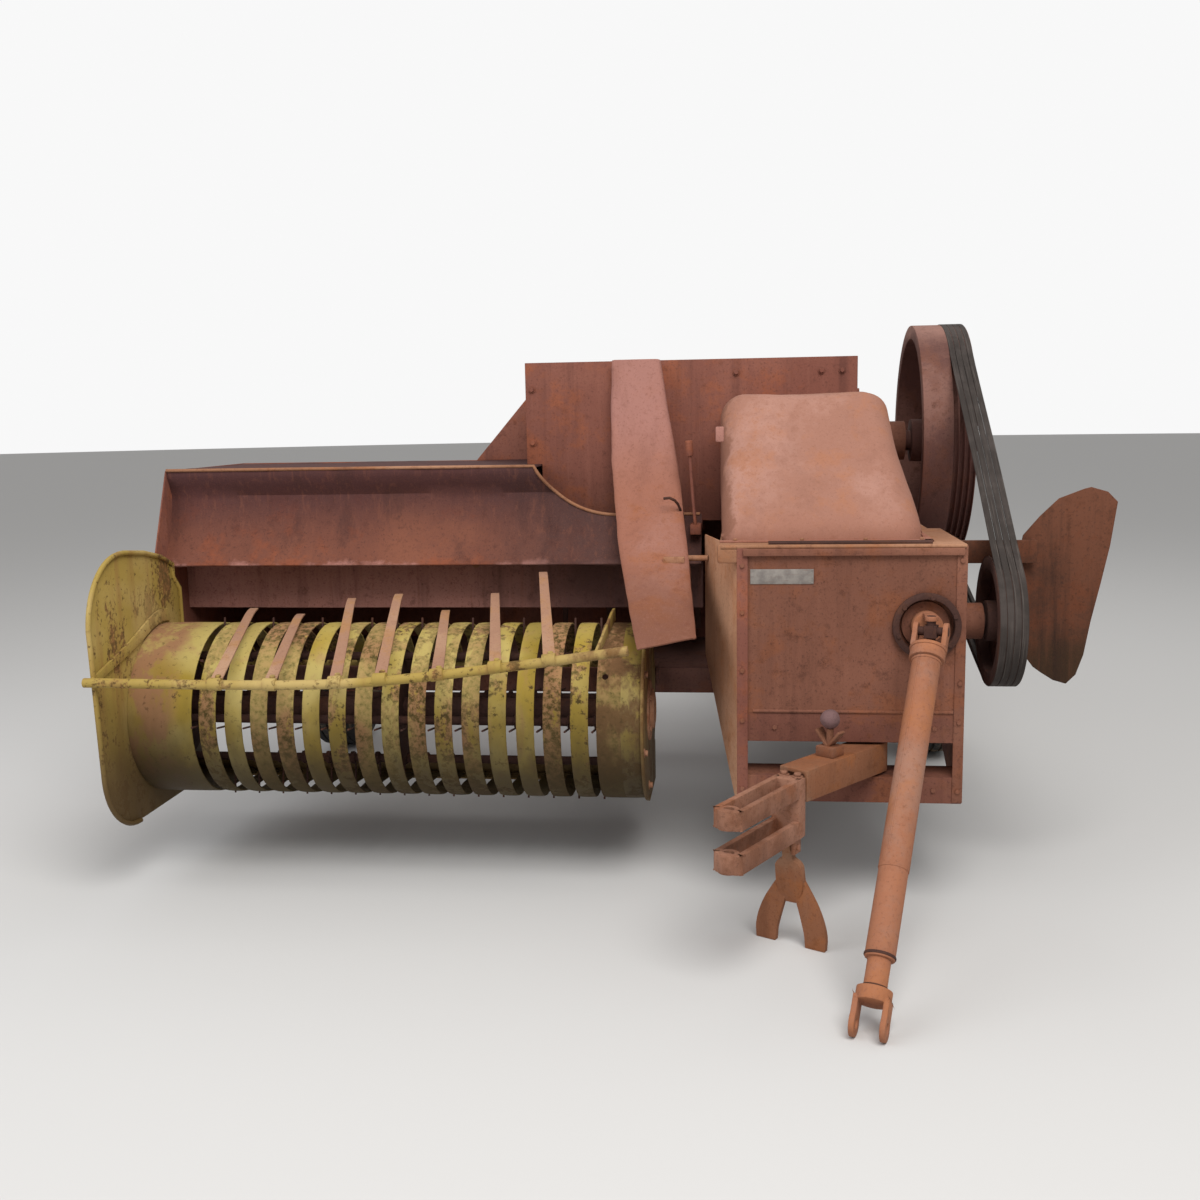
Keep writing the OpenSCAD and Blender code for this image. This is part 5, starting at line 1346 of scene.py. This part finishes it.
# The pin that the stand hangs on: y and height in the hitch's own place
STAND_PIN = (-0.026, 0.254)


def moved(piece, matrix):
    """Puts a piece modelled around the origin into its place."""
    piece.data.transform(matrix)
    return piece


def make_hitch():
    """Two bent strap loops and the block that joins them to the drawbar."""
    line = [
        (-0.029, -0.020), (-0.029, -0.296), (-0.0285, -0.310), (-0.023, -0.318),
        (-0.012, -0.3215), (0, -0.322),
    ]
    line += [(-x, y) for x, y in reversed(line[:-1])]
    line = smooth_line([(x, y, 0) for x, y in line], 48)
    wall_profile = (
        (0.0005, 0.0132), (0.0005, 0.0240), (0.002, 0.0250), (0.043, 0.0250), (0.0445, 0.0240),
        (0.0445, 0.0132), (0.0005, 0.0132),
    )
    wide, thick = 0.045, 0.0155
    pieces = []
    for low in (0.278, 0.378):
        strap = [Vector((p.x, p.y, low + wide / 2)) for p in line]
        pieces.append(flat_bar(strap, wide, thick, Vector((0, 0, 1))))
        # Boss around the drawpin's bore
        pieces.append(soften(spun("wall", wall_profile, Vector((0, -0.312, low)), ABOUT_Z)))
    pieces.append(block("plate", (-0.037, -0.044, 0.278), (0.037, -0.006, 0.423), 0.004))
    for x in (-0.026, 0.016):
        pieces.append(block("lug", (x, -0.044, 0.238), (x + 0.010, -0.008, 0.280), 0.003))
    pieces.append(rod("pin", (-0.030, *STAND_PIN), (0.030, *STAND_PIN), 0.008, 20, 0.001))
    heads = [((x, -0.014, 0.423), (0, 0, 1)) for x in (-0.018, 0.018)]
    pieces.append(hex_bolts("bolts", heads, 0.016))
    hitch = moved(together("hitch_loop_set", pieces), HITCH)
    dress(hitch, FINISHES["strap"], "drawbar", "rust_tan", "hitch_loops")


def make_stand():
    """Parking stand: hub on its pin, broad neck plate and two curved blades."""
    hub_profile = (
        (-0.0130, 0.0085), (0.0130, 0.0085), (0.0135, 0.0135), (0.0120, 0.0150),
        (-0.0120, 0.0150), (-0.0135, 0.0135), (-0.0130, 0.0085),
    )
    pin_y, pin_z = STAND_PIN
    pieces = [soften(spun("hub", hub_profile, Vector((0, pin_y, pin_z)), ABOUT_X))]
    # Height and width of the neck plate, which slants away from the pin
    neck = (
        (0.244, 0.026), (0.222, 0.027), (0.214, 0.056), (0.203, 0.070), (0.165, 0.072),
        (0.138, 0.064), (0.118, 0.046), (0.108, 0.028),
    )
    line = [Vector((0, pin_y + 0.164 * (pin_z - z), z)) for z, wide in neck]
    pieces.append(flat_bar(line, [wide for z, wide in neck], 0.020, Vector((1, 0, 0))))
    for side in (-1, 1):
        bend = ((0.014, 0.168), (0.046, 0.100), (0.064, 0.040), (0.066, 0))
        line = smooth_line([(side * x, -0.006, z) for x, z in bend], 16)
        wide = [0.036 + 0.022 * math.sin(math.pi * k / 20) for k in range(16)]
        pieces.append(flat_bar(line, wide, 0.016, Vector((1, 0, 0))))
    stand = moved(together("stand_blades", pieces), HITCH)
    dress(stand, FINISHES["bar"], "stand", "rust_tan", "stand")


def make_latch():
    """Knob on its stem, between spread flats."""
    stem_y, top = -0.190, 0.438
    deselect()
    bpy.ops.mesh.primitive_uv_sphere_add(
        segments=40, ring_count=24, radius=0.024, location=(0, stem_y, top + 0.092),
    )
    knob = moved(dent(soften(settle(bpy.context.object), 60), 0.0012, 0.02, 2.0), SWUNG)
    knob.name = "latch_knob"
    dress(knob, FINISHES["knob"], "drawbar", "rust_dark")
    foot = block("foot", (-0.026, stem_y - 0.025, top), (0.026, stem_y + 0.025, top + 0.026), 0.003)
    stem = rod("stem", (0, stem_y, top), (0, stem_y, top + 0.068), 0.009, 24)
    pieces = [foot, stem]
    for side in (-1, 1):
        low = Vector((side * 0.001, stem_y, top + 0.024))
        high = Vector((side * 0.0335, stem_y, top + 0.064))
        pieces.append(flat_bar([low, low.lerp(high, 0.5), high], 0.028, 0.007, Vector((0, 1, 0))))
    latch = moved(together("latch_bracket", pieces), SWUNG)
    dress(latch, FINISHES["strap"], "drawbar", "rust_tan", "latch")


def ring_around(name, start, way, distance, radius, wide, deep):
    """Raised rounded ring around a shaft."""
    side = way.orthogonal().normalized()
    profile = (
        (0, radius - 0.002), (0, radius + deep * 0.7), (wide * 0.2, radius + deep),
        (wide * 0.8, radius + deep), (wide, radius + deep * 0.7), (wide, radius - 0.002),
        (0, radius - 0.002),
    )
    return soften(spun(name, profile, start + way * distance, (way, side, way.cross(side)), 40))


def make_shaft_trims():
    """Rings, lower sleeve and guard seam on the drive shaft."""
    start = spot(*PIVOTS["shaft_yaw"])
    # The fork lies on the ground, and fork is the height of the shaft's middle there
    length, fork, clear = 0.962, 0.028, 0.0003
    pitch = math.asin((start.z - fork - clear) / length)
    yaw = math.radians(18)
    way = Vector((-math.sin(yaw) * math.cos(pitch), -math.cos(yaw) * math.cos(pitch), -math.sin(pitch)))
    # Rings: distance along the shaft, radius, width and height
    rings = [
        ring_around("ring", start, way, d, r, w, h)
        for d, r, w, h in ((0.050, 0.042, 0.008, 0.0025), (0.086, 0.034, 0.006, 0.0020))
    ]
    rings.append(rod("sleeve", start + way * 0.615, start + way * 0.822, 0.0325, 40, 0.003))
    off = way.orthogonal().normalized() * 0.0338
    seam = [start + way * (0.095 + 0.49 * k / 12) + off for k in range(13)]
    rings.append(pipe("seam", seam, 0.0018, 8))
    dress(together("drive_shaft_rings", rings), FINISHES["shaft"], "drive_shaft", "rust_tan")
    thin = [
        ring_around("ring", start, way, d, r, w, h)
        for d, r, w, h in ((0.812, 0.0325, 0.006, 0.0020), (0.880, 0.025, 0.006, 0.0030))
    ]
    dress(together("drive_shaft_dark_rings", thin), FINISHES["dark"], "drive_shaft", "rust_dark")


# Bolts on the flywheel, the housings and the chamber


def make_flywheel_bolts():
    """Bolts around the flywheel's hub."""
    x, middle = own(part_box("flywheel")[1]).x - 0.001, PIVOTS["flywheel_spin"].yz
    heads = [(spot(x, *on_circle(middle, 0.040, a)), (1, 0, 0)) for a in range(0, 360, 60)]
    dress(hex_bolts("flywheel_bolts", heads, 0.016), FINISHES["wheel"], "flywheel", "rust_pale")


def make_housing_bolts():
    """Bolts on the tall housing's front and side, and on the feeder's back and end."""
    heads = [(spot(x, 0.640, 1.400), (0, -1, 0)) for x in (-0.30, -0.05, 0.01)]
    heads += [(spot(-0.915, 0.640, z), (0, -1, 0)) for z in (1.36, 1.20)]
    heads += [(spot(0.055, 0.70, z), (1, 0, 0)) for z in (1.34, 1.18, 1.02)]
    heads += [(spot(x, 1.106, 1.10), (0, 1, 0)) for x in (-1.9, -1.5, -1.1, -0.7)]
    for y in (0.60, 0.75, 0.90, 1.04):
        heads += [(spot(-2.030, y, z), (-1, 0, 0)) for z in (0.60, 1.09)]
    dress(hex_bolts("housing_bolts", heads, 0.013), FINISHES["housing"], "chassis", "rust_red")


def make_chamber_bolts():
    """Two rows of bolts along each side of the bale chamber."""
    heads = []
    # Side of the chamber, first bolt, distance from bolt to bolt and their number
    for side, first, pitch, count in ((1, 0.50, 0.20, 14), (-1, 1.20, 0.22, 10)):
        for k in range(count):
            heads += [(spot(side * 0.276, first + pitch * k, z), (side, 0, 0)) for z in (0.565, 0.765)]
    dress(hex_bolts("chamber_bolts", heads, 0.014), FINISHES["chamber"], "chassis", "rust_red")


# Stage


def make_floor(tone):
    """Wide pale floor."""
    deselect()
    bpy.ops.mesh.primitive_circle_add(vertices=128, radius=60, fill_type="NGON", location=(0, 0, 0))
    floor = bpy.context.object
    floor.name = "floor"
    paper = bpy.data.materials.new("pale_floor")
    paper.use_nodes = True
    shader = paper.node_tree.nodes["Principled BSDF"]
    shader.inputs["Base Color"].default_value = (tone, tone, tone, 1)
    shader.inputs["Roughness"].default_value = 0.95
    shader.inputs["Specular IOR Level"].default_value = 0.1
    floor.data.materials.append(paper)


def make_sky(strength):
    """Soft light from all around, and a white background for the camera."""
    sky = bpy.data.worlds.new("studio")
    bpy.context.scene.world = sky
    sky.use_nodes = True
    tree = sky.node_tree
    tree.nodes.clear()
    out = tree.nodes.new("ShaderNodeOutputWorld")
    choose = tree.nodes.new("ShaderNodeMixShader")
    ray = tree.nodes.new("ShaderNodeLightPath")
    soft = tree.nodes.new("ShaderNodeBackground")
    white = tree.nodes.new("ShaderNodeBackground")
    soft.inputs["Color"].default_value = (1, 0.985, 0.965, 1)
    soft.inputs["Strength"].default_value = strength
    white.inputs["Color"].default_value = (0.94, 0.94, 0.94, 1)
    tree.links.new(ray.outputs["Is Camera Ray"], choose.inputs[0])
    tree.links.new(soft.outputs[0], choose.inputs[1])
    tree.links.new(white.outputs[0], choose.inputs[2])
    tree.links.new(choose.outputs[0], out.inputs[0])


def make_lights():
    """Three large round lamps that point at the machine's middle."""
    target = spot(-0.5, 0.6, 0.6)
    for name, place, power, tint in (
        ("key_light", spot(0.8, -3.4, 5.4), 330, (1, 0.975, 0.94)),
        ("fill_light", spot(-4.6, -2.6, 3.2), 95, (0.97, 0.98, 1)),
        ("rear_light", spot(0.0, 5.0, 6.0), 60, (1, 0.98, 0.95)),
    ):
        lamp = bpy.data.lights.new(name, "AREA")
        lamp.shape = "DISK"
        lamp.size = 4.0
        lamp.energy = power
        lamp.color = tint
        light = bpy.data.objects.new(name, lamp)
        bpy.context.scene.collection.objects.link(light)
        light.location = place
        light.rotation_euler = (target - place).to_track_quat("-Z", "Y").to_euler()


def make_camera():
    """Camera at the photograph's viewing angle, a little turned, tilted and rolled."""
    yaw, pitch, roll = math.radians(6.6), math.radians(8.4), math.radians(1.0)
    eye_place = spot(-0.28, -3.15, 1.28)
    ahead = Vector((-math.sin(yaw) * math.cos(pitch), math.cos(yaw) * math.cos(pitch), -math.sin(pitch)))
    right = Vector((math.cos(yaw), math.sin(yaw), 0))
    up = right.cross(ahead)
    right_rolled = math.cos(roll) * right - math.sin(roll) * up
    up_rolled = math.sin(roll) * right + math.cos(roll) * up
    lens = bpy.data.cameras.new("camera")
    lens.lens = 37.5
    lens.sensor_width = 36
    eye = bpy.data.objects.new("camera", lens)
    scene = bpy.context.scene
    scene.collection.objects.link(eye)
    turn = Matrix((right_rolled, up_rolled, -ahead)).transposed().to_4x4()
    eye.matrix_world = Matrix.Translation(eye_place) @ turn
    scene.camera = eye
    scene.view_settings.view_transform = "Standard"


# Add-on


class BalerLooks(bpy.types.PropertyGroup):
    """Sizes, colours and amounts that can be changed before the pieces are made."""

    panel_paint: bpy.props.FloatVectorProperty(
        name="Pickup paint", description="Old paint of the pickup's panels, frame and wind guard",
        default=paint(158, 134, 66), min=0, max=1, size=4, subtype="COLOR")
    band_paint: bpy.props.FloatVectorProperty(
        name="Band paint", description="Old paint of the stripper bands",
        default=paint(154, 130, 44), min=0, max=1, size=4, subtype="COLOR")
    housing_rust: bpy.props.FloatVectorProperty(
        name="Housing rust", description="Main rust colour of the tall housing, feeder end and axle",
        default=paint(116, 70, 58), min=0, max=1, size=4, subtype="COLOR")
    edge: bpy.props.FloatProperty(
        name="Worn edge", description="Width of the worn edges of plates and castings",
        default=0.0015, min=0.0003, max=0.004, unit="LENGTH", precision=4)
    dents: bpy.props.FloatProperty(
        name="Dents", description="Depth of the dents in the sheet covers",
        default=0.010, min=0, max=0.03, unit="LENGTH", precision=4)
    bolt: bpy.props.FloatProperty(
        name="Bolt head", description="Width across the flats of the bolt heads on the front box",
        default=0.011, min=0.008, max=0.030, unit="LENGTH", precision=4)
    world: bpy.props.FloatProperty(
        name="Surrounding light", description="Strength of the soft light from all around",
        default=0.52, min=0, max=3)
    floor_tone: bpy.props.FloatProperty(
        name="Floor tone", description="Brightness of the floor",
        default=0.58, min=0.1, max=1, subtype="FACTOR")


def looks():
    """The values that the panel shows."""
    return bpy.context.scene.baler_looks


class BALER_OT_finishes(bpy.types.Operator):
    """Makes every finish and puts it on the machine's own pieces"""
    bl_idname = "baler.finishes"
    bl_label = "Finishes"

    def execute(self, context):
        colours = (looks().panel_paint, looks().band_paint, looks().housing_rust)
        make_finishes(*(tuple(colour) for colour in colours))
        finish_nodes()
        return {"FINISHED"}


class BALER_OT_worn_edges(bpy.types.Operator):
    """Copies plates, castings and wheels with worn edges"""
    bl_idname = "baler.worn_edges"
    bl_label = "Worn edges"

    def execute(self, context):
        wear_edges(looks().edge)
        return {"FINISHED"}


class BALER_OT_covers(bpy.types.Operator):
    """Models the crank cover, the drive cover and the hood"""
    bl_idname = "baler.covers"
    bl_label = "Sheet covers"

    def execute(self, context):
        make_crank_cover(looks().dents)
        make_drive_cover(looks().dents)
        make_hood(looks().dents * 0.6)
        return {"FINISHED"}


class BALER_OT_front_box(bpy.types.Operator):
    """Adds the front box's label plate, strips and fold, and bolts on box, housing and chamber"""
    bl_idname = "baler.front_box"
    bl_label = "Front box"

    def execute(self, context):
        make_front_trims(looks().bolt)
        make_housing_bolts()
        make_chamber_bolts()
        return {"FINISHED"}


class BALER_OT_belt_drive(bpy.types.Operator):
    """Models the four belts and the flywheel's bolts"""
    bl_idname = "baler.belt_drive"
    bl_label = "Belt drive"

    def execute(self, context):
        make_belts()
        make_flywheel_bolts()
        return {"FINISHED"}


class BALER_OT_wheels(bpy.types.Operator):
    """Models the tyres and wheel nuts"""
    bl_idname = "baler.wheels"
    bl_label = "Wheels"

    def execute(self, context):
        make_tyre("tyre_belt_side", "tyre_ribbed_belt_side", "wheel_belt_side")
        make_tyre("tyre_pickup_side", "tyre_ribbed_pickup_side", "wheel_pickup_side")
        make_wheel_nuts("wheel_nuts_belt_side", 0.402, 1, "wheel_belt_side")
        make_wheel_nuts("wheel_nuts_pickup_side", -1.842, -1, "wheel_pickup_side")
        return {"FINISHED"}


class BALER_OT_pickup(bpy.types.Operator):
    """Models the pickup's bands, reel, wind guard and rims"""
    bl_idname = "baler.pickup"
    bl_label = "Pickup"

    def execute(self, context):
        make_bands()
        make_reel()
        make_wind_guard()
        make_pickup_trims()
        return {"FINISHED"}


class BALER_OT_hitch(bpy.types.Operator):
    """Models the hitch loops, the stand, the latch and the drive shaft's rings"""
    bl_idname = "baler.hitch"
    bl_label = "Hitch and drive shaft"

    def execute(self, context):
        make_hitch()
        make_stand()
        make_latch()
        make_shaft_trims()
        return {"FINISHED"}


class BALER_OT_stage(bpy.types.Operator):
    """Sets up the floor, the lights and the camera"""
    bl_idname = "baler.stage"
    bl_label = "Stage"

    def execute(self, context):
        make_floor(looks().floor_tone)
        make_sky(looks().world)
        make_lights()
        make_camera()
        return {"FINISHED"}


class BALER_PT_panel(bpy.types.Panel):
    """Sizes and steps of the baler's looks"""
    bl_idname = "BALER_PT_panel"
    bl_label = "Square Baler Looks"
    bl_space_type = "VIEW_3D"
    bl_region_type = "UI"
    bl_category = "Baler"

    def draw(self, context):
        for key in (
            "panel_paint", "band_paint", "housing_rust", "edge", "dents", "bolt", "world", "floor_tone",
        ):
            self.layout.prop(context.scene.baler_looks, key)
        for step in STEPS:
            self.layout.operator(step.bl_idname)


STEPS = (
    BALER_OT_finishes, BALER_OT_worn_edges, BALER_OT_covers, BALER_OT_front_box,
    BALER_OT_belt_drive, BALER_OT_wheels, BALER_OT_pickup, BALER_OT_hitch, BALER_OT_stage,
)
CLASSES = (BalerLooks,) + STEPS + (BALER_PT_panel,)


def register():
    """Makes the classes and their values known to Blender."""
    for kind in CLASSES:
        bpy.utils.register_class(kind)
    bpy.types.Scene.baler_looks = bpy.props.PointerProperty(type=BalerLooks)


def unregister():
    """Takes back what register does."""
    del bpy.types.Scene.baler_looks
    for kind in reversed(CLASSES):
        bpy.utils.unregister_class(kind)


def main():
    """Makes the whole machine and its stage, step by step."""
    register()
    bpy.ops.baler.finishes()
    bpy.ops.baler.worn_edges()
    bpy.ops.baler.covers()
    bpy.ops.baler.front_box()
    bpy.ops.baler.belt_drive()
    bpy.ops.baler.wheels()
    bpy.ops.baler.pickup()
    bpy.ops.baler.hitch()
    bpy.ops.baler.stage()


if __name__ == "__main__":
    main()
